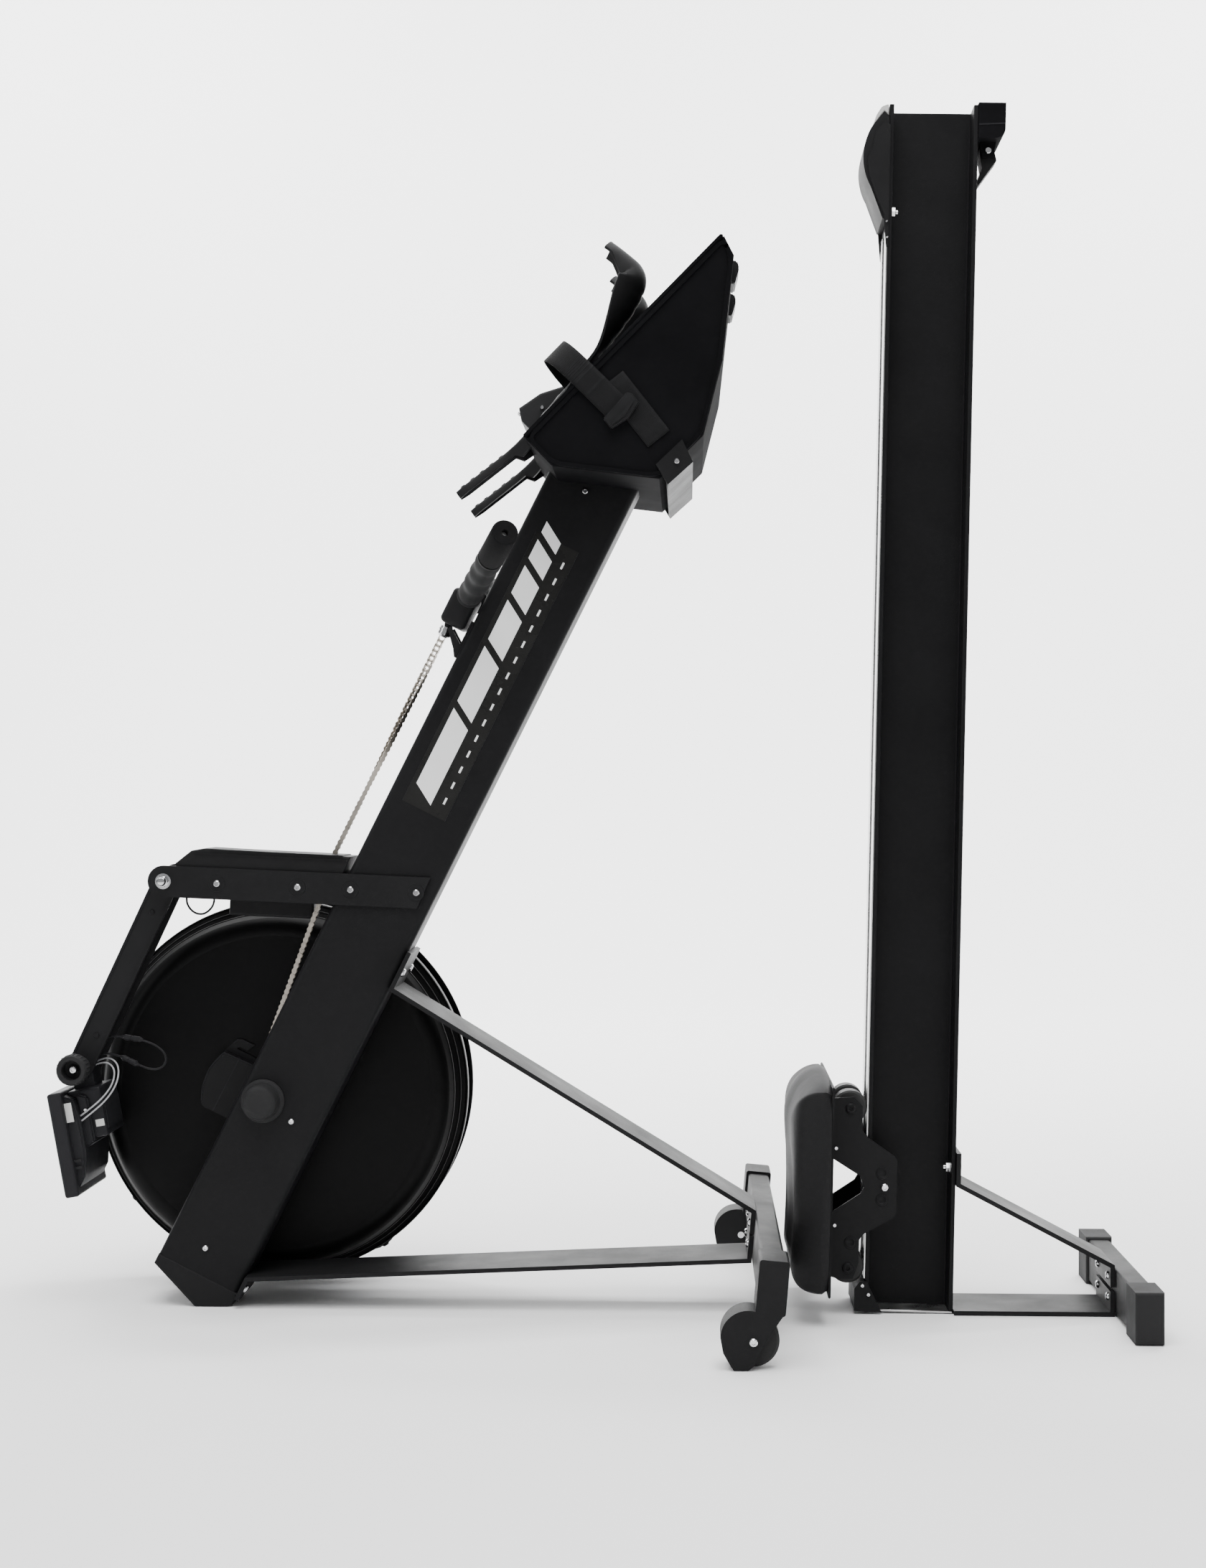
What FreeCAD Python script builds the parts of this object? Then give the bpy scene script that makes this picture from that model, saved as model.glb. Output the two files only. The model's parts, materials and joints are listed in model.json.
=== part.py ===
import FreeCAD, Part
import math
import os
import re
import Sketcher

# Air rowing machine, taken apart into its two halves and stood up for storage.
# X runs from the front half to the rail half, Y runs across the machine, +Z is up.
# The front half is drawn in a frame laid along its beam: x runs up the beam from the
# nose, z stands off the handle side. The rail half is drawn in a frame laid up its
# rail: z runs up the rail, x runs from the seat face to the back.

SIZES = {
    "nose_x": -502.2, "nose_z": 49.5, "beam_angle": 63.45,
    "beam_end": 1080, "beam_deep": 102, "beam_half": 33, "beam_wall": 3, "cap_long": 12,
    "rail_x": 309.3, "rail_z": 2.4, "rail_lean": 1.25,
    "rail_long": 1368, "rail_deep": 100, "rail_half": 38, "rail_flange": 5, "rail_web": 6,
    "track_thick": 1.2, "track_half": 12,
    "strap_half": 46, "strap_thick": 5,
    "foot_wide": 25, "foot_tall": 50, "foot_wall": 2.5,
    "front_foot_half": 262, "front_fork_half": 303, "fork_inner": 245,
    "rear_foot_half": 168, "rear_cap_half": 182, "cap_wall": 3,
    "caster_reach": 27, "caster_half": 11, "caster_mid": 284, "caster_bore": 4.05,
    "bar_half": 18, "bar_long": 307, "bar_skew": 293, "plate_thick": 4, "bar_slope": 2.5,
    "pivot_x": -491.1, "pivot_z": 487.7,
    "axle_x": -376.6, "axle_z": 236, "axle_reach": 7, "running_gap": 0.05,
    "disc_front": 50, "rim_reach": 224, "cage_reach": 216, "skin": 3,
    "cage_near": 102, "cage_far": 152, "housing_back": 165,
    "fan_reach": 198, "vane_count": 16, "sprocket_reach": 21.5,
    "grip_reach": 15, "bar_reach": 6, "foam_reach": 14.5,
    "chain_plate": 6, "chain_wide": 8,
    "knob_x": -591.4, "knob_z": 272.8, "knob_reach": 17, "pin_reach": 4, "arm_angle": 64.981,
    "arm_long": 237.154, "arm_half": 15, "arm_wide": 20,
    "monitor_lean": 10.6, "screen_half": 63,
    "shell_half": 155, "shell_wall": 4, "foot_gap": 85, "board_fall": 18.12,
    "roller_reach": 19, "roller_half": 12, "roller_mid": 26, "bolt_reach": 3,
    "cord_reach": 1.2,
}

doc = FreeCAD.newDocument("RowingMachine")
sheet = doc.addObject("Spreadsheet::Sheet", "Sizes")
for row, (alias, number) in enumerate(SIZES.items(), start=1):
    sheet.set("A%d" % row, alias)
    sheet.set("B%d" % row, str(number))
    sheet.setAlias("B%d" % row, alias)
doc.recompute()

nodes = []
Y_AXIS = FreeCAD.Vector(0, 1, 0)


def refresh(piece):
    """Work out one object and what it rests on."""
    piece.recompute(True)


def bound(text):
    """The expression with each size name tied to its cell."""
    return re.sub(r"[a-z_]+", lambda m: "Sizes." + m[0] if m[0] in SIZES else m[0], str(text))


def size(text):
    return float(sheet.evalExpression(bound(text)))


def vector(x, y, z):
    return FreeCAD.Vector(size(x), size(y), size(z))


def turned(x, z, degrees):
    """A frame at x, z that is turned about the cross axis."""
    return FreeCAD.Placement(vector(x, 0, z), FreeCAD.Rotation(Y_AXIS, size(degrees)))


FRONT = turned("nose_x", "nose_z", "-beam_angle")
REAR = turned("rail_x", "rail_z", "rail_lean")
BAR = turned("pivot_x", "pivot_z", "bar_slope")
WHEEL = turned("axle_x", "axle_z", 0)
ARM = turned("pivot_x", "pivot_z", "180 - arm_angle")
MONITOR = turned("knob_x", "knob_z", "-monitor_lean")
WORLD = FreeCAD.Placement()
# The footboard's frame: x runs down the board's slope, z stands off it.
BOARD = FRONT.multiply(FreeCAD.Placement(FreeCAD.Vector(1023, 0, 25),
                                         FreeCAD.Rotation(Y_AXIS, size("board_fall"))))


def node(label, piece, frame):
    piece.Label = label
    piece.Placement = frame.multiply(piece.Placement)
    nodes.append(piece)
    return piece


def bind(piece, **sizes):
    for name, text in sizes.items():
        piece.setExpression(name.replace("_", "."), bound(text))
    return piece


# ---- outlines, slabs and turned pieces -------------------------------------------------

def sketch(body, role, offset=0):
    plane = [item for item in body.Origin.OriginFeatures if item.Role == role][0]
    drawing = body.newObject("Sketcher::SketchObject", "Outline")
    drawing.AttachmentSupport = [(plane, "")]
    drawing.MapMode = "FlatFace"
    drawing.setExpression("AttachmentOffset.Base.z", bound(offset))
    return drawing


def pin(drawing, line, end, x, y):
    """Hold one end of a line at its bound place."""
    for kind, text in (("DistanceX", x), ("DistanceY", y)):
        index = drawing.addConstraint(Sketcher.Constraint(kind, -1, 1, line, end, size(text)))
        if re.search("[a-z]", str(text)):
            drawing.setExpression("Constraints[%d]" % index, bound(text))


def loop(drawing, points):
    """A closed loop. A point of four values is reached by an arc through the last two."""
    for start, end in zip(points, points[1:] + points[:1]):
        first = vector(start[0], start[1], 0)
        last = vector(end[0], end[1], 0)
        if len(end) == 4:
            drawing.addGeometry(Part.Arc(first, vector(end[2], end[3], 0), last))
            continue
        line = drawing.addGeometry(Part.LineSegment(first, last))
        pin(drawing, line, 1, start[0], start[1])
        pin(drawing, line, 2, end[0], end[1])


def ring(drawing, x, y, reach):
    centre = vector(x, y, 0)
    index = drawing.addGeometry(Part.Circle(centre, FreeCAD.Vector(0, 0, 1), size(reach)))
    hold = drawing.addConstraint(Sketcher.Constraint("Radius", index, size(reach)))
    drawing.setExpression("Constraints[%d]" % hold, bound(reach))
    pin(drawing, index, 3, x, y)


def new_body(name):
    return doc.addObject("PartDesign::Body", name)


def slab(name, points, low, high, holes=(), rounding=None):
    """An outline in x and z, filled from low to high in y, with round holes."""
    body = new_body(name)
    drawing = sketch(body, "XZ_Plane", "-(%s)" % high)
    loop(drawing, points)
    for x, z, reach in holes:
        ring(drawing, x, z, reach)
    pad = body.newObject("PartDesign::Pad", "Pad")
    pad.Profile = drawing
    bind(pad, Length="(%s) - (%s)" % (high, low))
    refresh(body)
    if rounding:
        round_edges(body, pad, *rounding)
    return body


def round_edges(body, feature, radius, chosen):
    names = ["Edge%d" % (i + 1) for i, edge in enumerate(feature.Shape.Edges) if chosen(edge)]
    fillet = body.newObject("PartDesign::Fillet", "Fillet")
    fillet.Base = (feature, names)
    bind(fillet, Radius=radius)
    refresh(body)
    return fillet


def across(edge):
    """True for a straight edge that runs across the machine."""
    return abs(edge.BoundBox.YLength - edge.Length) < 0.01


def outer_rim(edge):
    return edge.BoundBox.YLength < 0.01


def all_edges(edge):
    return edge.Length > 4


def notch(body, points, low, high):
    """Cut an outline in x and z out of a body, from low to high in y."""
    before = body.Shape.Volume
    drawing = sketch(body, "XZ_Plane", "-(%s)" % low)
    loop(drawing, points)
    pocket = body.newObject("PartDesign::Pocket", "Pocket")
    pocket.Profile = drawing
    bind(pocket, Length="(%s) - (%s)" % (high, low))
    refresh(body)
    if body.Shape.Volume > before - 1:
        raise ValueError("the cut in %s removes nothing" % body.Name)
    return pocket


def turning(name, points):
    """An outline of reach and y, turned about the y axis."""
    body = new_body(name)
    drawing = sketch(body, "XY_Plane")
    loop(drawing, points)
    revolution = body.newObject("PartDesign::Revolution", "Revolution")
    revolution.Profile = drawing
    revolution.ReferenceAxis = (drawing, ["V_Axis"])
    revolution.Angle = 360
    refresh(body)
    return body


def rectangle(x_low, z_low, x_high, z_high):
    return [(x_low, z_low), (x_high, z_low), (x_high, z_high), (x_low, z_high)]


# ---- plain solids and groups -----------------------------------------------------------

def block(name, low, high, radius=None):
    piece = doc.addObject("Part::Box", name)
    for letter, start, end, side in zip("xyz", low, high, ("Length", "Width", "Height")):
        piece.setExpression("Placement.Base." + letter, bound(start))
        piece.setExpression(side, bound("(%s) - (%s)" % (end, start)))
    refresh(piece)
    for letter in "xyz":
        piece.setExpression("Placement.Base." + letter, None)
    if not radius:
        return piece
    soft = doc.addObject("Part::Fillet", name + "Round")
    soft.Base = piece
    soft.Edges = [(index + 1, size(radius), size(radius)) for index in range(12)]
    refresh(soft)
    return soft


def rod(name, start, end, reach):
    """A round bar between two points."""
    first = vector(*start)
    line = vector(*end) - first
    piece = doc.addObject("Part::Cylinder", name)
    bind(piece, Radius=reach)
    piece.Height = line.Length
    piece.Placement = FreeCAD.Placement(first, FreeCAD.Rotation(FreeCAD.Vector(0, 0, 1), line))
    refresh(piece)
    return piece


def fuse(name, pieces):
    piece = doc.addObject("Part::MultiFuse", name)
    piece.Shapes = pieces
    refresh(piece)
    return piece


def cut(name, base, tool):
    piece = doc.addObject("Part::Cut", name)
    piece.Base = base
    piece.Tool = tool
    refresh(piece)
    return piece


def group(name, pieces):
    piece = doc.addObject("Part::Compound", name)
    piece.Links = pieces
    refresh(piece)
    return piece


def button_head(name, foot, direction, reach="bolt_reach * 1.8", rise="bolt_reach * 1.1"):
    """A bolt head that stands on a face and points along the direction."""
    base = vector(*foot)
    piece = doc.addObject("Part::Cone", name)
    bind(piece, Radius1=reach, Radius2="(%s) * 0.6" % reach, Height=rise)
    turn = FreeCAD.Rotation(FreeCAD.Vector(0, 0, 1), FreeCAD.Vector(*direction))
    piece.Placement = FreeCAD.Placement(base, turn)
    return piece


def placed(piece, frame):
    piece.Placement = frame.multiply(piece.Placement)
    return piece


NEAR = (0, -1, 0)
FAR = (0, 1, 0)


def mirrored(name, piece):
    copy = doc.addObject("Part::Mirroring", name)
    copy.Source = piece
    copy.Normal = Y_AXIS
    refresh(copy)
    return copy


def both_sides(name, piece):
    return group(name, [piece, mirrored(name + "Far", piece)])


def ribbon(points, thick):
    """The outline of a bent strip: the points are its left face, its right is offset."""
    spots = [vector(x, z, 0) for x, z in points]
    offset = []
    for index, spot in enumerate(spots):
        before = spot - spots[index - 1] if index else spots[1] - spot
        after = spots[index + 1] - spot if index + 1 < len(spots) else before
        before.normalize()
        after.normalize()
        bisector = FreeCAD.Vector(before.y + after.y, -before.x - after.x, 0)
        bisector.normalize()
        square = FreeCAD.Vector(before.y, -before.x, 0)
        offset.append(spot + bisector * (size(thick) / bisector.dot(square)))
    return [(spot.x, spot.y) for spot in spots + offset[::-1]]


def drill(body, x, z, reach, low, high):
    drawing = sketch(body, "XZ_Plane", "-(%s)" % low)
    ring(drawing, x, z, reach)
    pocket = body.newObject("PartDesign::Pocket", "Bore")
    pocket.Profile = drawing
    bind(pocket, Length="(%s) - (%s)" % (high, low))
    refresh(body)


def lengthwise(edge):
    return edge.BoundBox.XLength > 400


def tube(name, half_x, half_z, wall, half_long, radius):
    """A rectangular tube that runs across the machine."""
    outer = rectangle("-" + half_x, "-" + half_z, half_x, half_z)
    body = slab(name, outer, "-" + half_long, half_long, rounding=(radius, across))
    inner_x = "(%s - %s)" % (half_x, wall)
    inner_z = "(%s - %s)" % (half_z, wall)
    notch(body, rectangle("-" + inner_x, "-" + inner_z, inner_x, inner_z), "-" + half_long, half_long)
    return body


# ---- beam and nose ---------------------------------------------------------------------

AXLE_A = 223
AXLE_B = -29
FRONT_FOOT = turned(196.7, 84.3, 5)
FLOOR_EDGE = [(-23.4, -63.85), (-8.2, -94.2)]
FLANGE_X = -17.5


def make_beam():
    body = new_body("Beam")
    drawing = sketch(body, "YZ_Plane", "cap_long")
    loop(drawing, rectangle("-beam_half", "-beam_deep", "beam_half", 0))
    pad = body.newObject("PartDesign::Pad", "Pad")
    pad.Profile = drawing
    bind(pad, Length="beam_end - cap_long")
    refresh(body)
    round_edges(body, pad, 7, lengthwise)
    inner = sketch(body, "YZ_Plane", "cap_long")
    loop(inner, rectangle("beam_wall - beam_half", "beam_wall - beam_deep",
                          "beam_half - beam_wall", "-beam_wall"))
    bore = body.newObject("PartDesign::Pocket", "Hollow")
    bore.Profile = inner
    bore.Reversed = True
    bind(bore, Length="beam_end - cap_long")
    refresh(body)
    drill(body, AXLE_A, AXLE_B, "axle_reach + running_gap", "-beam_half - 1", "beam_half + 1")
    notch(body, rectangle(205, -4, 335, 1), -9, 9)
    node("beam", body, FRONT)

    corners = [(0, 0)] + FLOOR_EDGE + [(-3, "-beam_deep"), ("cap_long", "-beam_deep"), ("cap_long", 0)]
    nose = slab("NoseCap", corners, "-beam_half - 1", "beam_half + 1", rounding=(2, outer_rim))
    node("nose_cap", nose, FRONT)


def under_beam(along):
    """World x and z of a point on the beam's underside."""
    spot = FRONT.multVec(vector(along, 0, "-beam_deep"))
    return spot.x, spot.z


def at_foot(x, z):
    spot = FRONT_FOOT.multVec(vector(x, 0, z))
    return spot.x, spot.z


def make_front_legs():
    upper = ribbon([under_beam(452), under_beam(403), at_foot(FLANGE_X, 28), at_foot(FLANGE_X, 4)],
                   "-strap_thick")
    lower = ribbon([under_beam(8), under_beam(36), at_foot(FLANGE_X, -24), at_foot(FLANGE_X, 2)],
                   "strap_thick")
    straps = [slab("UpperLeg", upper, "-strap_half", "strap_half"),
              slab("LowerLeg", lower, "-strap_half", "strap_half")]
    node("front_legs", group("FrontLegs", straps), WORLD)


def make_front_foot():
    body = tube("FrontFoot", "foot_wide / 2", "foot_tall / 2", "foot_wall", "front_foot_half", 3)
    node("front_foot_tube", body, FRONT_FOOT)

    wide = "(foot_wide / 2 + cap_wall)"
    tall = "(foot_tall / 2 + cap_wall)"
    sleeve = slab("Sleeve", rectangle("-" + wide, "-" + tall, wide, tall),
                  "-front_fork_half", "-fork_inner", rounding=(3, across))
    notch(sleeve, rectangle("-foot_wide / 2", "-foot_tall / 2", "foot_wide / 2", "foot_tall / 2"),
          "-front_foot_half", "-fork_inner")
    sleeve.Placement = FRONT_FOOT
    fender = [(179, 60.5), (143.3, 33, 152, 53.5), (146, 18), (154.3, 3.6), (157, 0), (171.5, 0),
              (178, 5.3), (188, 27), (205, 52.5), (209, 58)]
    fork = slab("Fork", fender, "-front_fork_half", -263)
    opening = [(149, -5), (149, 29), (177, 57, 157.2, 48.8), (215, 57), (215, -5)]
    notch(fork, opening, -298, -268)
    drill(fork, 177, 29, "pin_reach", -310, -255)
    near = fuse("ForkNear", [sleeve, fork])
    node("front_foot_forks", both_sides("FrontFootForks", near), WORLD)

    for name, side in (("near", -1), ("far", 1)):
        middle = side * size("caster_mid")
        outline = [("caster_bore", "-caster_half"), ("caster_reach - 3", "-caster_half"),
                   ("caster_reach", "3 - caster_half"), ("caster_reach", "caster_half - 3"),
                   ("caster_reach - 3", "caster_half"), ("caster_bore", "caster_half")]
        wheel = turning("Caster" + name, outline)
        place = FreeCAD.Placement(FreeCAD.Vector(177, middle, 29), FreeCAD.Rotation())
        node("caster_wheel_" + name, wheel, place)


# ---- crossbar --------------------------------------------------------------------------

BAR_BOLTS = (62, 155, 216, 291.5)


def make_crossbar():
    corners = [("-bar_half", "-bar_half"), ("bar_skew", "-bar_half"), ("bar_long", "bar_half"),
               ("-bar_half", "bar_half")]
    plate = slab("CrossbarPlate", corners, "-beam_half - plate_thick", "-beam_half",
                 holes=[(0, 0, "pin_reach + running_gap")])
    round_edges(plate, plate.Tip, "bar_half - 0.1", lambda edge: across(edge) and edge.BoundBox.XMax < 0)
    node("crossbar_plates", both_sides("CrossbarPlates", plate), BAR)

    top = [(20, -8), (12, 21), (30, 36.5), (45, 39.8), (214, 37.5), (196, -8)]
    cover = slab("CrossbarCover", top, "-beam_half", "beam_half", rounding=(2, outer_rim))
    notch(cover, [(24, -9), (16, 20), (31, 33), (45, 36.5), (209, 34.3), (191, -9)],
          "3 - beam_half", "beam_half - 3")
    notch(cover, [(154.5, -21.8), (176.4, -31.6), (212, 63), (195.3, 69.5)], -7, 7)
    node("crossbar_cover", cover, BAR)
    node("housing_mount", block("HousingMount", (69, 6, "-bar_half - 20"), (168, 48, "-bar_half"), 3), BAR)


# ---- flywheel, housing and damper ------------------------------------------------------

def make_housing():
    near = turning("NearCover", [("axle_reach + running_gap", "disc_front"), (184, "disc_front"),
                                 (205, 58, 198, 52), (210, 66), (210, 76), (216, 79), (216, 88),
                                 ("rim_reach", 91), ("rim_reach", "cage_near"),
                                 ("rim_reach - skin", "cage_near"), ("rim_reach - skin", 94),
                                 ("216 - skin", 91), ("216 - skin", 82), ("210 - skin", 79),
                                 ("210 - skin", 67), (203, 61),
                                 (184, "disc_front + skin", 197, 55.5),
                                 ("axle_reach + running_gap", "disc_front + skin")])
    node("flywheel_near_cover", near, WHEEL)

    cage = turning("Cage", rectangle("cage_reach - 2", "cage_near", "cage_reach", "cage_far"))
    drawing = sketch(cage, "YZ_Plane", 0)
    loop(drawing, rectangle(108, -10, 146, 10))
    slots = cage.newObject("PartDesign::Pocket", "Window")
    slots.Profile = drawing
    slots.Reversed = True
    bind(slots, Length="cage_reach + 5")
    refresh(cage)
    pattern = cage.newObject("PartDesign::PolarPattern", "Windows")
    pattern.Originals = [slots]
    pattern.Axis = (drawing, ["H_Axis"])
    pattern.Angle = 360
    pattern.Occurrences = 36
    cage.Tip = pattern
    refresh(cage)
    node("flywheel_cage", cage, WHEEL)

    far = turning("FarCover", [("axle_reach + running_gap", "housing_back - skin"),
                               (190, "housing_back - skin"), ("rim_reach - skin", "cage_far"),
                               ("rim_reach", "cage_far"),
                               ("rim_reach", 156), (196, "housing_back"),
                               ("axle_reach + running_gap", "housing_back")])
    node("flywheel_far_cover", far, WHEEL)

    axle = rod("Axle", (0, "-beam_half", 0), (0, "housing_back", 0), "axle_reach")
    node("flywheel_axle", axle, WHEEL)
    near_cap = turning("AxleCap", [(0, "-beam_half"), (24, "-beam_half"), (24, "-beam_half - 6"),
                                   (20, "-beam_half - 9"), (19, "-beam_half - 22"),
                                   (14, "-beam_half - 27", 17.5, "-beam_half - 25.5"),
                                   (0, "-beam_half - 28")])
    far_cap = turning("AxleNut", [(0, "housing_back"), (13, "housing_back"), (13, "housing_back + 8"),
                                  (8, "housing_back + 12"), (0, "housing_back + 12")])
    node("axle_caps", group("AxleCaps", [near_cap, far_cap]), WHEEL)


def make_fan():
    body = turning("Fan", [("axle_reach + running_gap", 72), (26, 72), (26, 120), ("fan_reach", 124),
                           ("fan_reach", 127), (26, 127), (26, 140), ("axle_reach + running_gap", 140)])
    drawing = sketch(body, "XZ_Plane", -124)
    loop(drawing, [(24, -1), ("fan_reach - 1", 11), ("fan_reach - 1", 13.5), (24, 1.5)])
    vane = body.newObject("PartDesign::Pad", "Vane")
    vane.Profile = drawing
    vane.Length = 34
    refresh(body)
    pattern = body.newObject("PartDesign::PolarPattern", "Vanes")
    pattern.Originals = [vane]
    pattern.Axis = (drawing, ["N_Axis"])
    pattern.Angle = 360
    bind(pattern, Occurrences="vane_count")
    body.Tip = pattern
    refresh(body)
    node("flywheel_fan", body, WHEEL)

    sprocket = turning("Sprocket", [("axle_reach + running_gap", -12), (12, -12), (12, -2), (17, -1.2),
                                    (17, 1.2), (12, 2), (12, 12), ("axle_reach + running_gap", 12)])
    node("drive_sprocket", sprocket, WHEEL)


def make_damper():
    body = slab("DamperHousing", [(-42, -36.5), (-78, -19), (-86.5, -9, -84.6, -15.2), (-61.5, 46.2, -81.3, 19.5),
                                  (-55.5, 46.7, -59, 47.9), (-10.5, 27)], 36, 47)
    node("damper_housing", body, WHEEL)
    reach = "axle_reach + running_gap"
    lever = slab("DamperLever", [(-14, -4), (-57, 42), (-60.5, 48.5), (-50.5, 57.4), (-37.9, 60.8, -43.5, 61.9),
                                 (-24.7, 54.9), (-33.7, 48), (-42.1, 52.7), (-46.3, 50.7), (-37.9, 46.3),
                                 (-26.3, 41), (10, 8), (13, -4), (4, -14), (-9, -12)],
                 47.3, 49.7, holes=[(0, 0, reach)])
    node("damper_lever", lever, WHEEL)


# ---- chain and handle ------------------------------------------------------------------

CHAIN_B = 28
GRIP_SLOPE = [(832, 0, 22), (916.5, -230, -11)]


def grip_point(share):
    """A place on the near half of the bent handle, as a share of its reach."""
    return tuple(near + (far - near) * share for near, far in zip(*GRIP_SLOPE))


def sleeve(name, start, end, outer, inner):
    tube_outer = rod(name + "Outer", grip_point(start), grip_point(end), outer)
    tube_inner = rod(name + "Inner", grip_point(start - 0.01), grip_point(end + 0.01), inner)
    return cut(name, tube_outer, tube_inner)


def make_handle():
    upper = block("ChainUpper", (448, "-chain_wide / 2", CHAIN_B - 3), (791, "chain_wide / 2", CHAIN_B + 3))
    node("chain_upper", upper, FRONT)
    lower = slab("ChainLower", ribbon([(221, -4.6), (470, 23.1)], "chain_plate"),
                 "-chain_wide / 2", "chain_wide / 2")
    node("chain_lower", lower, FRONT)
    swivel = turning("ChainSwivel", [(0, 0), (5, 0), (7.5, 2.5), (7.5, 12), (5, 16), (0, 16)])
    swivel.Placement = FreeCAD.Placement(FreeCAD.Vector(791, 0, CHAIN_B),
                                         FreeCAD.Rotation(Y_AXIS, FreeCAD.Vector(1, 0, 0)))
    node("chain_swivel", swivel, FRONT)

    bar = rod("BarHalf", grip_point(0), grip_point(0.97), "bar_reach")
    node("handle_bar", fuse("HandleBar", [bar, mirrored("BarFar", bar)]), FRONT)
    solid = block("HandleSolid", (807, -26, 7), (850, 26, 38), 6)
    passage = rod("HandlePassage", grip_point(-0.06), grip_point(0.3), "bar_reach + 0.3")
    hollow = fuse("HandleHollow", [passage, mirrored("HandlePassageFar", passage)])
    node("handle_block", cut("HandleBlock", solid, hollow), FRONT)
    grip = sleeve("Grip", 0.17, 0.69, "grip_reach", "bar_reach + 0.3")
    node("handle_grips", both_sides("HandleGrips", grip), FRONT)
    foam = sleeve("Foam", 0.695, 1, "foam_reach", "bar_reach + 0.3")
    node("handle_ends", both_sides("HandleEnds", foam), FRONT)

    cradle = slab("CradleHook", [(776, 0), (822, 0), (822, 3), (792, 3), (806, 22), (802, 24), (784, 8),
                                 (776, 3)], -25, -16)
    node("handle_cradle", both_sides("HandleCradle", cradle), FRONT)


# ---- foot stretcher --------------------------------------------------------------------

def make_stretcher():
    profile = [(1023, 25), (1316, -71), (1302, -90), (1194, -130), (1112, -148), (1048, -126), (1009, -15)]
    shell = slab("StretcherShell", profile, "-shell_half", "shell_half", rounding=(5, outer_rim))
    cavity = [(1027, 19.5), (1306, -71.5), (1297, -87), (1192, -126), (1112, -143.5), (1051, -122.6),
              (1013.6, -15.5)]
    notch(shell, cavity, "shell_wall - shell_half", "shell_half - shell_wall")
    notch(shell, rectangle(1000, "-beam_deep - 0.4", 1060, 0.4), "-beam_half - 0.4", "beam_half + 0.4")
    node("stretcher_shell", shell, FRONT)
    wedge = slab("Wedge", [(1040, 19.9), (1051, 53), (1063, 62), (1089, 47.5), (1150, -16)], -38, 38,
                 rounding=(3, outer_rim))
    node("stretcher_wedge", wedge, FRONT)

    sole = ribbon([(941, 74), (1020, 36), (1147, 0), (1215, -12), (1254, -5), (1266, 44)], 3.5)
    for name, low, high in (("near", "-foot_gap - 36", "36 - foot_gap"),
                            ("far", "foot_gap - 36", "foot_gap + 36")):
        plate = slab("Footplate" + name, sole, low, high)
        for side_low, side_high in ((low, "(%s) + 24" % low), ("(%s) - 24" % high, high)):
            notch(plate, rectangle(930, 33, 1021, 90), side_low, side_high)
        node("footplate_" + name, plate, FRONT)

    strap = new_body("ToeStrap")
    drawing = sketch(strap, "YZ_Plane", 78)
    arch = [(-159, -52), (-159, 4), (-142, 40), (-95, 50), (-48, 34), (-41.5, 1.2)]
    loop(drawing, ribbon(arch, 2.4))
    web = strap.newObject("PartDesign::Pad", "Pad")
    web.Profile = drawing
    web.Length = 30
    refresh(strap)
    node("toe_straps", both_sides("ToeStraps", strap), BOARD)

    slider = placed(block("Slider", (74, -164, -62), (112, -159.3, -46), 1.5), BOARD)
    hooks = [slab("Hook%d" % index, [(a, b), (a + 3, b - 8.5), (a - 21, b - 17.5), (a - 24, b - 9)],
                  -110, -60) for index, (a, b) in enumerate(((1299, -92), (1262, -105.8)))]
    pieces = [slider] + [placed(hook, FRONT) for hook in hooks]
    node("strap_buckles", both_sides("StrapBuckles", group("NearBuckles", pieces)), WORLD)
    webbing = slab("Webbing", [(1108.5, -25.5), (1135.5, -38.5), (1100, -113), (1073, -100)],
                   "-shell_half - 1.3", "-shell_half")
    node("side_webbing", both_sides("SideWebbing", webbing), FRONT)

    receiver = slab("Receiver", [(1060, -116), (1097, -129.5), (1080, -151), (1046, -137.6)],
                    "-shell_half - 3", "shell_half + 3")
    notch(receiver, [(1062, -110), (1112, -127), (1081.4, -148), (1040, -132)],
          "-shell_half - 0.1", "shell_half + 0.1")
    node("rail_receiver", receiver, FRONT)


# ---- monitor and its arm ---------------------------------------------------------------

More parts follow.
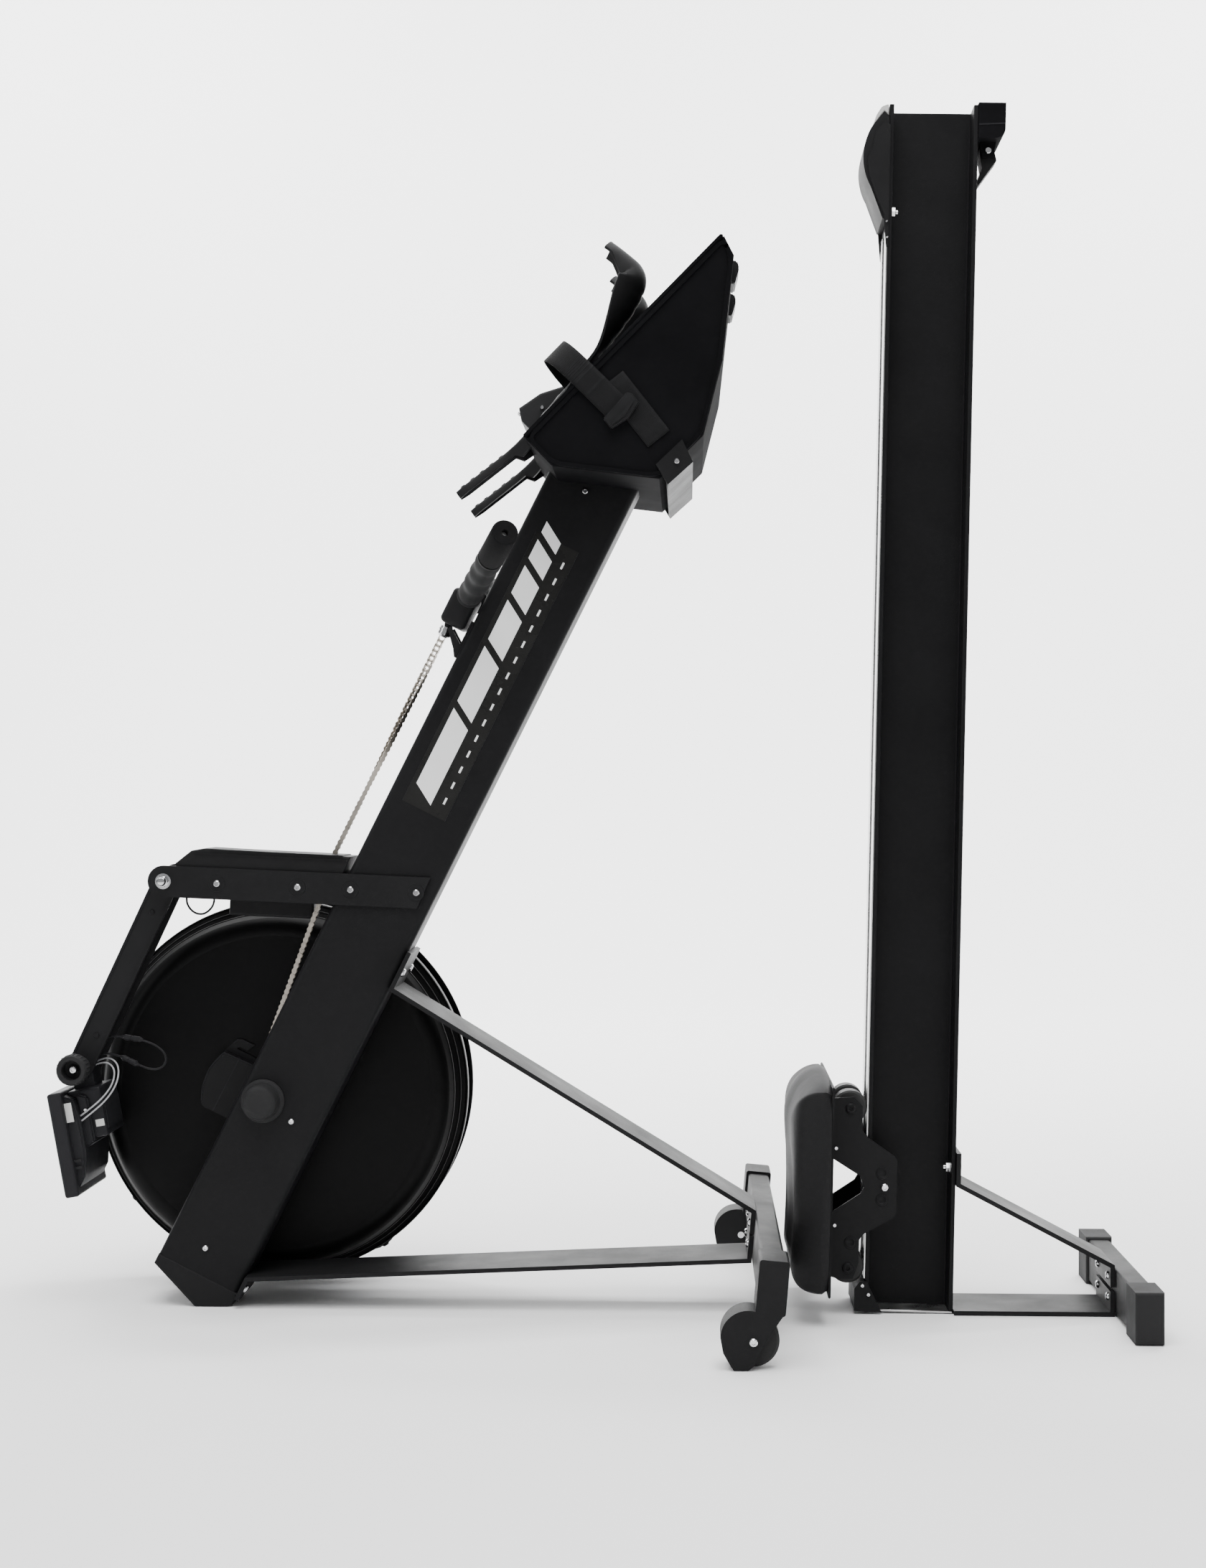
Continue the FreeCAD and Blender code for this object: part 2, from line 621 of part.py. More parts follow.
def make_monitor():
    bore = "pin_reach + running_gap"
    arm = slab("MonitorArm", [(0, "-arm_half", "-arm_half", 0), ("arm_long", "-arm_half"),
                              ("arm_long", "arm_half", "arm_long + arm_half", 0), (0, "arm_half")],
               "-arm_wide", "arm_wide", holes=[(0, 0, bore), ("arm_long", 0, bore)])
    notch(arm, [(14, -12), (216, -12), (216, -16), (260, -16), (260, 16), (14, 16)],
          "3 - arm_wide", "arm_wide - 3")
    node("monitor_arm", arm, ARM)

    knob = turning("TiltKnob", [(0, -50), (5, -50), (5, -47), (11, -47), (12, -60), (16, -60), (17, -57),
                                (17, -42), (12, -38), (12, -20.3), ("pin_reach", -20.3),
                                ("pin_reach", 22), (0, 22)])
    node("tilt_knob", knob, MONITOR)

    bezel = slab("Bezel", rectangle(-32.5, -142, -16.2, -22), "-screen_half", "screen_half",
                 rounding=(3, all_edges))
    notch(bezel, rectangle(-34, -134, -28.5, -120), -20, 20)
    node("monitor_bezel", bezel, MONITOR)
    key = slab("MonitorKey", rectangle(-33.5, -133.7, -30.5, -120.3), -19.7, 19.7,
               rounding=(0.8, outer_rim))
    node("monitor_key", key, MONITOR)

    back = block("BackBox", (-16.2, -38, -82), (22.5, 38, -25), 3)
    shoulder = block("Shoulder", (-16.2, -50, -87), (-6, 50, -33), 2)
    lug = slab("Lug", [(-12, -30), (12, -30), (12, 0), (-12, 0, 0, 12)], -16.7, 16.7, holes=[(0, 0, bore)])
    node("monitor_back", fuse("MonitorBack", [back, shoulder, lug]), MONITOR)


# ---- cords: straight runs joined by arcs -----------------------------------------------

def cord(name, points, reach):
    """A round cord along the points, with the largest arc that each corner has room for."""
    spots = [vector(*point) for point in points]
    edges = []
    start = spots[0]
    tightest = 1000
    for before, spot, after in zip(spots, spots[1:], spots[2:]):
        back = before - spot
        onward = after - spot
        room = 0.45 * min(back.Length, onward.Length)
        half_turn = (math.pi - back.getAngle(onward)) / 2
        radius = room / math.tan(half_turn)
        tightest = min(tightest, radius)
        back.normalize()
        onward.normalize()
        inner = back + onward
        inner.normalize()
        middle = spot + inner * (radius / math.cos(half_turn) - radius)
        edges.append(Part.LineSegment(start, spot + back * room).toShape())
        edges.append(Part.Arc(spot + back * room, middle, spot + onward * room).toShape())
        start = spot + onward * room
    edges.append(Part.LineSegment(start, spots[-1]).toShape())
    path = Part.Wire(edges)
    length = path.Length
    direction = spots[1] - spots[0]
    section = Part.Wire([Part.makeCircle(size(reach), spots[0], direction)])
    tube_shape = path.makePipeShell([section], True, False)
    piece = doc.addObject("Part::Feature", name)
    piece.Shape = tube_shape
    ideal = math.pi * size(reach) ** 2 * length
    print("%s: length %.0f, tightest radius %.1f, volume %.3f of its section times its length"
          % (name, length, tightest, tube_shape.Volume / ideal))
    return piece


LEAD_ROUTE = [(-582, -8, 292), (-573, -9, 302), (-559, -13, 307.5), (-541, -18, 307), (-520, -23, 304.5),
              (-503, -27, 299.5), (-491, -30, 291), (-488, -31, 280.5), (-495, -31, 272),
              (-508, -30, 271), (-524, -27, 277), (-541, -22, 284), (-557, -16, 287.5), (-569, -11, 287),
              (-578, -7, 283.5)]
WIRE_ROUTE = [(13, -8, -2), (24, -12, 0), (35, -19, -3), (41.5, -29, -12), (38, -38, -26),
              (26, -43.5, -38), (11, -45, -47), (-5.4, -44.5, -55)]
SECOND_ROUTE = [(13, -3, 1), (24, -7, 4), (37, -14, 2.5), (46, -25, -8), (43.5, -36, -25),
                (31, -42.5, -40), (14, -45.5, -51), (-5.4, -46.5, -61)]
HINGE_ROUTE = [(27, -24, -6), (24.5, -24.5, -17), (27, -25, -28), (36, -26, -36), (47, -26, -36.5),
               (56, -25, -28), (58, -24.5, -17), (56, -24, -6)]


def make_cords():
    node("monitor_lead", cord("MonitorLead", LEAD_ROUTE, "cord_reach"), WORLD)
    node("monitor_wire_one", cord("FirstWire", WIRE_ROUTE, "cord_reach * 0.8"), MONITOR)
    node("monitor_wire_two", cord("SecondWire", SECOND_ROUTE, "cord_reach * 0.8"), MONITOR)
    node("hinge_cable", cord("HingeCable", HINGE_ROUTE, "cord_reach"), BAR)


# ---- rail half -------------------------------------------------------------------------

REAR_FOOT_X = 602.5
REAR_FOOT_Z = 28.2


def at_rail(x, z):
    spot = REAR.multVec(vector(x, 0, z))
    return spot.x, spot.z


def make_rail():
    body = new_body("Rail")
    drawing = sketch(body, "XY_Plane")
    corners = [(0, "-rail_half"), ("rail_flange", "-rail_half"), ("rail_flange", "-rail_web / 2"),
               ("rail_deep - rail_flange", "-rail_web / 2"), ("rail_deep - rail_flange", "-rail_half"),
               ("rail_deep", "-rail_half"), ("rail_deep", "rail_half"),
               ("rail_deep - rail_flange", "rail_half"), ("rail_deep - rail_flange", "rail_web / 2"),
               ("rail_flange", "rail_web / 2"), ("rail_flange", "rail_half"), (0, "rail_half")]
    loop(drawing, corners)
    pad = body.newObject("PartDesign::Pad", "Pad")
    pad.Profile = drawing
    bind(pad, Length="rail_long")
    refresh(body)
    round_edges(body, pad, 1.2, lambda edge: edge.Length > 400)
    node("rail", body, REAR)
    strip = block("Track", ("-track_thick", "-26 - track_half", 37), (0, "track_half - 26", 1228))
    node("rail_tracks", both_sides("RailTracks", strip), REAR)

    stop = slab("StopBlock", [(-0.3, 2), (-12, 2), (-12, 26), (-6, 34), (-0.3, 34)],
                "-rail_half", "rail_half")
    cheek = slab("StopCheek", [(-12, 1), (-12, 26), (-6, 34), (2, 34), (19, 0.6)], -44, "-rail_half - 0.3")
    cheeks = both_sides("StopCheeks", cheek)
    node("end_stop", group("EndStop", [stop, cheeks]), REAR)


def make_rear_feet():
    lower = ribbon([(409.8, 5), (584.8, 5), (584.8, 28)], "strap_thick")
    upper = ribbon([at_rail(105.1, 182), at_rail(105.1, 148), (589.8, 58), (589.8, 33)], "strap_thick")
    legs = [slab("RearLowerLeg", lower, "-strap_half", "strap_half"),
            slab("RearUpperLeg", upper, "-strap_half", "strap_half")]
    node("rear_legs", group("RearLegs", legs), WORLD)
    foot = turned(REAR_FOOT_X, REAR_FOOT_Z, 0)
    body = tube("RearFoot", "foot_wide / 2", "foot_tall / 2", "foot_wall", "rear_foot_half", 3)
    node("rear_foot_tube", body, foot)
    wide = "(foot_wide / 2 + cap_wall)"
    tall = "(foot_tall / 2 + cap_wall)"
    cap = slab("RearCap", rectangle("-" + wide, "-" + tall, wide, tall), "-rear_cap_half", -124,
               rounding=(4, outer_rim))
    notch(cap, rectangle("-foot_wide / 2", "-foot_tall / 2", "foot_wide / 2", "foot_tall / 2"),
          "-rear_foot_half", -124)
    node("rear_foot_caps", both_sides("RearFootCaps", cap), foot)


def make_rail_top():
    cover = slab("FrontCover", [(-0.3, 1354), (-6, 1360), (-20, 1342), (-20, 1274, -29, 1308),
                                (-6, 1238), (-0.3, 1238)], "-rail_half - 1", "rail_half + 1")
    node("rail_front_cover", cover, REAR)
    hook = slab("HookBlock", [(100.2, 1331), (120, 1331), (131, 1342, 127.8, 1334.2), (131, 1371),
                              (100.2, 1371)], "-rail_half", "rail_half")
    lug = slab("HookLug", [(104, 1333), (123, 1333), (120, 1314), (107, 1314)], -20, -14,
               holes=[(113.5, 1321, "bolt_reach + running_gap")])
    node("rail_hook_block", fuse("RailHook", [hook, both_sides("HookLugs", lug)]), REAR)
    lever = slab("LatchLever", [(105, 1326), (121, 1326), (124.5, 1312), (116, 1300), (105, 1284),
                                (102.5, 1286), (108, 1303), (105.5, 1318)], -13.5, 13.5)
    pin_bar = rod("LatchPin", (113.5, -23, 1321), (113.5, 23, 1321), "bolt_reach")
    node("latch_lever", fuse("Latch", [lever, pin_bar]), REAR)


# ---- seat ------------------------------------------------------------------------------

ROLLER_X = -20.5
UPPER_Z = 230
LOWER_Z = 50
GUIDE_X = 19.4
GUIDE_Z = 142


def make_seat():
    cushion = slab("Cushion", [(-46, 22), (-46, 270), (-74, 270), (-89, 252, -85.5, 265), (-91, 34),
                               (-80, 21, -87.5, 24.5)], -131, 131)
    node("seat_cushion", cushion, REAR)

    outline = [(-42.5, 241), (-17, 243), (-7.2, 233.5), (-6.6, 206), (-1.6, 198.6), (30.4, 177),
               (33, 171.5), (33, 112.6), (28.7, 107), (-3.6, 88.7), (-7.9, 82), (-8.2, 56),
               (-14.3, 38), (-30.8, 37.5), (-42.5, 40.7), (-42.5, 110.4), (-7.8, 134.4),
               (-3.7, 142), (-8.2, 154), (-42.5, 174.8)]
    plates = [slab("SideNear", outline, -48, -45), slab("SideFar", outline, 45, 48)]
    tabs = [block("Tab%d" % low, (-45.9, -48, low), (-42.5, 48, low + 65)) for low in (43, 176)]
    axles = [rod("RollerAxle%d" % z, (ROLLER_X, -46, z), (ROLLER_X, 46, z), "pin_reach")
             for z in (LOWER_Z, UPPER_Z)]
    stubs = [rod("Stub%d" % side, (GUIDE_X, side * 46, GUIDE_Z), (GUIDE_X, side * 22, GUIDE_Z), "pin_reach")
             for side in (-1, 1)]
    node("seat_carriage", fuse("Carriage", plates + tabs + axles + stubs), REAR)

    def roller(name, reach, low, high):
        bore = "pin_reach + running_gap"
        return turning(name, [(bore, low), ("%s - 2" % reach, low), (reach, "(%s) + 2" % low),
                              (reach, "(%s) - 2" % high), ("%s - 2" % reach, high), (bore, high)])

    for name, z in (("upper_rollers", UPPER_Z), ("lower_rollers", LOWER_Z)):
        wheel = roller(name + "_near", "roller_reach", "-roller_mid - roller_half",
                       "roller_half - roller_mid")
        pair = both_sides("Both_" + name, wheel)
        pair.Placement = FreeCAD.Placement(FreeCAD.Vector(ROLLER_X, 0, z), FreeCAD.Rotation())
        node(name, pair, REAR)
    guide = both_sides("BothGuides", roller("guide_near", "roller_reach - 5", -38, -25))
    guide.Placement = FreeCAD.Placement(FreeCAD.Vector(GUIDE_X, 0, GUIDE_Z), FreeCAD.Rotation())
    node("guide_rollers", guide, REAR)


# ---- fasteners -------------------------------------------------------------------------

def heads(name, frame, spots, direction, reach="bolt_reach * 1.8"):
    pieces = [button_head("%s%d" % (name, index), spot, direction, reach)
              for index, spot in enumerate(spots)]
    return [placed(piece, frame) for piece in pieces]


def make_fasteners():
    near_face = "-beam_half - plate_thick"
    pieces = heads("BarHead", BAR, [(x, near_face, 0) for x in BAR_BOLTS], NEAR)
    pieces += heads("BarNut", BAR, [(x, "beam_half + plate_thick", 0) for x in BAR_BOLTS], FAR)
    pivot = rod("PivotPin", (0, "-beam_half - plate_thick - 1", 0), (0, "beam_half + plate_thick + 1", 0),
                "pin_reach")
    dome = turning("PivotDome", [(0, -49), (5.5, -47), (7.5, -42), (7.5, -38), (10, -38), (10, -37),
                                 (0, -37)])
    nut = turning("PivotNut", [(0, 37), (7.5, 37), (7.5, 43), (0, 43)])
    pieces.append(placed(fuse("Pivot", [pivot, dome, nut]), BAR))
    side_spots = [(216.5, "-beam_half", -68.8), (42, "-beam_half", -45.4), (1012, "-beam_half", -48)]
    leg_spots = [(427, y, "-beam_deep - strap_thick") for y in (-36, 36)]
    foot_spots = [(FLANGE_X, y, z) for y in (-32, 32) for z in (-9, 15)]
    pieces += heads("SideHead", FRONT, side_spots, NEAR)
    pieces += heads("CapHead", FRONT, [(1073, "-shell_half - 3", -135)], NEAR)
    pieces += heads("UpperLegHead", FRONT, leg_spots, (0, 0, -1))
    pieces += heads("FootHead", FRONT_FOOT, foot_spots, (-1, 0, 0))
    for side in (-1, 1):
        middle = side * size("caster_mid")
        shank = rod("CasterPin%d" % side, (177, middle - side * 20.9, 29), (177, middle + side * 18.9, 29),
                    "pin_reach")
        outer = button_head("CasterHead%d" % side, (177, side * size("front_fork_half"), 29), (0, side, 0),
                            "bolt_reach * 2")
        pieces.append(fuse("CasterAxle%d" % side, [shank, outer]))
    node("frame_bolts", group("FrameBolts", pieces), WORLD)

    rail = []
    for side in (-1, 1):
        y = side * 22
        inner = "rail_deep - rail_flange"
        rail.append(rod("TopShank%d" % side, ("rail_flange", y, 1249), (19, y, 1249), "bolt_reach"))
        rail.append(rod("LegShank%d" % side, (82, y, 163), (inner, y, 163), "bolt_reach"))
    leg_spots = [("rail_deep + strap_thick + 0.1", y, 163) for y in (-22, 22)]
    foot_spots = [(584.8, y, z) for y in (-32, 32) for z in (20, 44)]
    rail_heads = heads("LegHead", REAR, leg_spots, (1, 0, 0))
    rail_heads += heads("RearFootHead", WORLD, foot_spots, (-1, 0, 0))
    node("rail_bolts", group("RailBolts", [placed(piece, REAR) for piece in rail] + rail_heads), WORLD)


def write_parts():
    doc.recompute()
    for item in doc.Objects:
        if "Invalid" in item.State or "Error" in item.State:
            raise ValueError("%s failed: %s" % (item.Name, item.State))
    os.makedirs("parts", exist_ok=True)
    for piece in nodes:
        if piece.Shape.isNull() or not piece.Shape.isValid():
            raise ValueError("%s has no valid shape" % piece.Label)
        piece.Shape.exportStep("parts/%s.step" % piece.Label)
    print("%d nodes written" % len(nodes))


make_beam()
make_front_legs()
make_front_foot()
make_crossbar()
make_housing()
make_fan()
make_damper()
make_handle()
make_stretcher()
make_monitor()
make_cords()
make_rail()
make_rear_feet()
make_rail_top()
make_seat()
make_fasteners()
write_parts()
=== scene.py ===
import json
import math
import bpy
import bmesh
from mathutils import Matrix, Vector


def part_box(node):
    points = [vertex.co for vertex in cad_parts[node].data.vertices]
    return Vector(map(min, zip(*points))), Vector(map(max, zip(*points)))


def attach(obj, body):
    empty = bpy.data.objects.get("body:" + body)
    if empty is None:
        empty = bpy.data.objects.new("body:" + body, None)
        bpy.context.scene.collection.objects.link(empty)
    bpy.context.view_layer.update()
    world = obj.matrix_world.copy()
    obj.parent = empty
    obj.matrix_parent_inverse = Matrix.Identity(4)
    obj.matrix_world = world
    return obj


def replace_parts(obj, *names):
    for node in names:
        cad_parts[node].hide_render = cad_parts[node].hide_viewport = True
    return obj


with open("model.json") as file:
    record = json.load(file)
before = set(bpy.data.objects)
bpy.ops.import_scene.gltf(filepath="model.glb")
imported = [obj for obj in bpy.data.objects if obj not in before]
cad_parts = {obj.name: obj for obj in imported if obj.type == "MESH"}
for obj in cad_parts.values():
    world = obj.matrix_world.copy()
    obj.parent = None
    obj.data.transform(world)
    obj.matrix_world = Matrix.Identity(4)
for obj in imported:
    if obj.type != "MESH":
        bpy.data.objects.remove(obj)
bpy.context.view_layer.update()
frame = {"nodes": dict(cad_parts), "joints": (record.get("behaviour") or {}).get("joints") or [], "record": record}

MM = 0.001
nodes = frame["nodes"]
joints = {joint["name"]: joint for joint in frame["joints"]}
slot_of = {item["node"]: item["material_slot"] for item in frame["record"]["subparts"]}

# ---- camera: level, a little right of the middle, turned slightly left -----------------

camera = bpy.data.objects.new("Camera", bpy.data.cameras.new("Camera"))
bpy.context.scene.collection.objects.link(camera)
bpy.context.scene.camera = camera
camera.location = (0.1114, -2.6437, 0.5925)
camera.rotation_euler = (math.radians(90.147), 0, math.radians(2.150))
camera.data.lens = 52.60
camera.data.sensor_width = 36


# ---- places: each half is drawn in millimetres in its own frame ------------------------

def about(spot, degrees):
    return Matrix.Translation(Vector(spot)) @ Matrix.Rotation(math.radians(degrees), 4, "Y")


def based(spot, degrees, x, z):
    """The frame with this turn in which the spot has the coordinates x, z in millimetres."""
    turn = Matrix.Rotation(math.radians(degrees), 4, "Y")
    return Matrix.Translation(Vector(spot) - turn @ Vector((x * MM, 0, z * MM))) @ turn


def flat(spot):
    return (spot[0], 0, spot[2])


beam_axis = joints["handle_pull"]["axis"]
beam_turn = -math.degrees(math.atan2(beam_axis[2], beam_axis[0]))
rail_axis = joints["seat_slide"]["axis"]
rail_turn = math.degrees(math.atan2(rail_axis[0], rail_axis[2]))
key_axis = joints["key_press"]["axis"]
monitor_turn = -math.degrees(math.atan2(key_axis[2], key_axis[0]))
pivot = joints["arm_fold"]["pos_m"]
knob_spot = joints["monitor_tilt"]["pos_m"]
arm_turn = -math.degrees(math.atan2(knob_spot[2] - pivot[2], knob_spot[0] - pivot[0]))

WHEEL = about(flat(joints["flywheel_spin"]["pos_m"]), 0)
FRONT = based(flat(joints["flywheel_spin"]["pos_m"]), beam_turn, 223, -29)
BAR = about(pivot, 2.5)
ARM = about(pivot, arm_turn)
MONITOR = about(knob_spot, monitor_turn)
REAR = based(joints["upper_roll"]["pos_m"], rail_turn, -20.5, 230)
BOARD = FRONT @ Matrix.Translation(Vector((1.023, 0, 0.025))) @ Matrix.Rotation(math.radians(18.12), 4, "Y")
tube_low, tube_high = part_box("front_foot_tube")
FOOT = about(((tube_low.x + tube_high.x) / 2, 0, (tube_low.z + tube_high.z) / 2), 5)
rear_low, rear_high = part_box("rear_foot_tube")
REAR_FOOT = about(((rear_low.x + rear_high.x) / 2, 0, (rear_low.z + rear_high.z) / 2), 0)
WORLD = Matrix.Identity(4)


# ---- surfaces --------------------------------------------------------------------------

def socket(shader, names, value):
    for name in names:
        if name in shader.inputs:
            shader.inputs[name].default_value = value
            return


def surface(name, colour, rough, metal=0.0, grain=900.0, depth=0.15, smudge=9.0, spread=0.12,
            lift=0.35, coat=0.0, sheen=0.0, stretch=None, pattern="NOISE", gleam=0.18):
    """A finish: fine grain as relief, and wide soft smudges in tone and polish."""
    made = bpy.data.materials.new(name)
    made.use_nodes = True
    tree = made.node_tree
    shader = tree.nodes["Principled BSDF"]
    place = tree.nodes.new("ShaderNodeTexCoord")
    wide = tree.nodes.new("ShaderNodeTexNoise")
    wide.inputs["Scale"].default_value = smudge
    wide.inputs["Detail"].default_value = 5.0
    wide.inputs["Roughness"].default_value = 0.6
    tree.links.new(place.outputs["Object"], wide.inputs["Vector"])
    tone = tree.nodes.new("ShaderNodeMixRGB")
    tone.inputs[1].default_value = (*[channel * (1 - lift * 0.5) for channel in colour], 1)
    tone.inputs[2].default_value = (*[min(1.0, channel * (1 + lift)) for channel in colour], 1)
    tree.links.new(wide.outputs["Fac"], tone.inputs[0])
    tree.links.new(tone.outputs[0], shader.inputs["Base Color"])
    polish = tree.nodes.new("ShaderNodeMapRange")
    polish.inputs["From Min"].default_value = 0.3
    polish.inputs["From Max"].default_value = 0.7
    polish.inputs["To Min"].default_value = max(0.02, rough - spread)
    polish.inputs["To Max"].default_value = min(1.0, rough + spread)
    tree.links.new(wide.outputs["Fac"], polish.inputs["Value"])
    tree.links.new(polish.outputs["Result"], shader.inputs["Roughness"])
    scaled = tree.nodes.new("ShaderNodeMapping")
    scaled.inputs["Scale"].default_value = stretch or (1, 1, 1)
    tree.links.new(place.outputs["Object"], scaled.inputs["Vector"])
    if pattern == "VORONOI":
        fine = tree.nodes.new("ShaderNodeTexVoronoi")
        fine.feature = "DISTANCE_TO_EDGE"
        height = fine.outputs["Distance"]
    elif pattern == "WEAVE":
        fine = tree.nodes.new("ShaderNodeTexBrick")
        fine.inputs["Mortar Size"].default_value = 0.06
        fine.inputs["Mortar Smooth"].default_value = 1.0
        height = fine.outputs["Fac"]
    else:
        fine = tree.nodes.new("ShaderNodeTexNoise")
        fine.inputs["Detail"].default_value = 3.0
        height = fine.outputs["Fac"]
    fine.inputs["Scale"].default_value = grain
    tree.links.new(scaled.outputs["Vector"], fine.inputs["Vector"])
    relief = tree.nodes.new("ShaderNodeBump")
    relief.inputs["Strength"].default_value = depth
    relief.inputs["Distance"].default_value = 0.0006
    tree.links.new(height, relief.inputs["Height"])
    tree.links.new(relief.outputs["Normal"], shader.inputs["Normal"])
    shader.inputs["Metallic"].default_value = metal
    socket(shader, ("Specular IOR Level", "Specular"), 0.5 if metal else gleam)
    socket(shader, ("IOR",), 1.5 if metal else 1.32)
    socket(shader, ("Coat Weight", "Clearcoat"), coat)
    socket(shader, ("Coat Roughness", "Clearcoat Roughness"), 0.25)
    socket(shader, ("Sheen Weight", "Sheen"), sheen)
    return made


LOOKS = {
    "powder_black": dict(colour=(0.007, 0.007, 0.0075), rough=0.46, grain=1500, depth=0.22, smudge=7,
                         spread=0.09, lift=0.6),
    "plate_black": dict(colour=(0.010, 0.010, 0.0105), rough=0.46, grain=1300, depth=0.2, smudge=11,
                        spread=0.08, lift=0.4),
    "plastic_black": dict(colour=(0.010, 0.010, 0.0105), rough=0.48, grain=2200, depth=0.28, smudge=14,
                          spread=0.08, lift=0.35),
    "shell_black": dict(colour=(0.0045, 0.0045, 0.005), rough=0.74, grain=300, depth=0.012, smudge=10,
                        spread=0.08, lift=0.9, gleam=0.03),
    "housing_black": dict(colour=(0.0022, 0.0022, 0.0024), rough=0.42, grain=1800, depth=0.2, smudge=4,
                          spread=0.06, lift=0.5),
    "cage_grey": dict(colour=(0.34, 0.35, 0.36), rough=0.42, metal=0.6, grain=900, depth=0.1),
    "rubber_black": dict(colour=(0.018, 0.018, 0.0185), rough=0.62, grain=1600, depth=0.4, smudge=20,
                         spread=0.08, lift=0.3),
    "grip_rubber": dict(colour=(0.013, 0.013, 0.0135), rough=0.6, grain=1900, depth=0.4, smudge=20,
                        spread=0.08, lift=0.3),
    "foam_grey": dict(colour=(0.007, 0.007, 0.0073), rough=0.9, grain=1500, depth=0.9, smudge=60,
                      spread=0.05, lift=0.5, sheen=0.02, gleam=0.06),
    "tyre_black": dict(colour=(0.02, 0.02, 0.02), rough=0.55, grain=1200, depth=0.3, smudge=25,
                       spread=0.1, lift=0.4),
    "chain_nickel": dict(colour=(0.36, 0.33, 0.29), rough=0.32, metal=1, grain=800, depth=0.1,
                         smudge=70, spread=0.12, lift=0.5),
    "bolt_chrome": dict(colour=(0.62, 0.62, 0.63), rough=0.17, metal=1, grain=900, depth=0.04,
                        smudge=60, spread=0.08, lift=0.2),
    "track_steel": dict(colour=(0.58, 0.58, 0.58), rough=0.27, metal=1, grain=900, depth=0.12,
                        smudge=30, spread=0.08, lift=0.2, stretch=(1, 1, 0.02)),
    "steel_bright": dict(colour=(0.52, 0.52, 0.52), rough=0.3, metal=1, grain=900, depth=0.08,
                         smudge=30, spread=0.1, lift=0.2),
    "webbing_black": dict(colour=(0.008, 0.008, 0.0085), rough=0.7, grain=420, depth=0.9, smudge=30,
                          spread=0.08, lift=0.5, sheen=0.02, pattern="WEAVE"),
    "buckle_black": dict(colour=(0.012, 0.012, 0.0125), rough=0.38, grain=1500, depth=0.12, smudge=30,
                         spread=0.08, lift=0.4),
    "wedge_grey": dict(colour=(0.022, 0.022, 0.023), rough=0.5, grain=1500, depth=0.25, smudge=30,
                       spread=0.08, lift=0.3),
    "monitor_case": dict(colour=(0.014, 0.014, 0.0155), rough=0.42, grain=2000, depth=0.25, smudge=20,
                         spread=0.07, lift=0.3),
    "key_grey": dict(colour=(0.16, 0.16, 0.17), rough=0.55, grain=1500, depth=0.2, smudge=40),
    "cable_black": dict(colour=(0.012, 0.012, 0.013), rough=0.4, grain=1500, depth=0.1, smudge=60),
    "wire_grey": dict(colour=(0.3, 0.3, 0.31), rough=0.42, grain=1500, depth=0.1, smudge=60),
    "seat_skin": dict(colour=(0.011, 0.011, 0.0115), rough=0.52, grain=520, depth=0.55, smudge=12,
                      spread=0.08, lift=0.4, pattern="VORONOI"),
    "roller_black": dict(colour=(0.03, 0.03, 0.03), rough=0.45, grain=900, depth=0.15, smudge=30),
}
FINISH = {slot: surface(slot, **look) for slot, look in LOOKS.items()}
GRAPHIC = surface("graphic_field", (0.012, 0.0118, 0.0115), 0.3, grain=260, depth=0.5, smudge=18,
                  spread=0.08, lift=0.6, stretch=(12, 1, 1))
PAINT_WHITE = surface("graphic_white", (0.78, 0.78, 0.78), 0.35, grain=900, depth=0.05, smudge=25,
                      lift=0.05)
SCREEN = surface("screen_dark", (0.05, 0.06, 0.055), 0.12, grain=300, depth=0.02, smudge=8, lift=0.2)
PAPER = surface("plate_pale", (0.5, 0.5, 0.49), 0.6, grain=900, depth=0.1, smudge=30, lift=0.05)


# ---- building --------------------------------------------------------------------------

def finish_piece(name, mesh_or_curve, place, body, slot, smooth=40, material=None):
    """Put new data in the scene, in place, with its finish, on its body."""
    piece = bpy.data.objects.new(name, mesh_or_curve)
    bpy.context.scene.collection.objects.link(piece)
    piece.matrix_world = place
    piece.data.materials.clear()
    piece.data.materials.append(material or FINISH[slot])
    if piece.type == "MESH" and smooth:
        soften(piece, smooth)
    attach(piece, body)
    return piece


def soften(piece, degrees):
    for face in piece.data.polygons:
        face.use_smooth = True
    piece.data.set_sharp_from_angle(angle=math.radians(degrees))


def closed(bm, name):
    bmesh.ops.recalc_face_normals(bm, faces=bm.faces)
    mesh = bpy.data.meshes.new(name)
    bm.to_mesh(mesh)
    bm.free()
    return mesh


def finish_mesh(name, bm, place, body, slot, smooth=40, material=None):
    return finish_piece(name, closed(bm, name), place, body, slot, smooth, material)


def span(side, inner, outer):
    """The low and high y of something between two distances from the middle, on one side."""
    return (-outer, -inner) if side < 0 else (inner, outer)


def fill_grid(bm, grid):
    """Faces between the rows of a grid of corners."""
    for first, second in zip(grid, grid[1:]):
        for column in range(len(first) - 1):
            bm.faces.new((first[column], first[column + 1], second[column + 1], second[column]))


def thicken(piece, thickness, offset=0):
    shell = piece.modifiers.new("Thickness", "SOLIDIFY")
    shell.thickness = thickness
    shell.offset = offset
    return shell


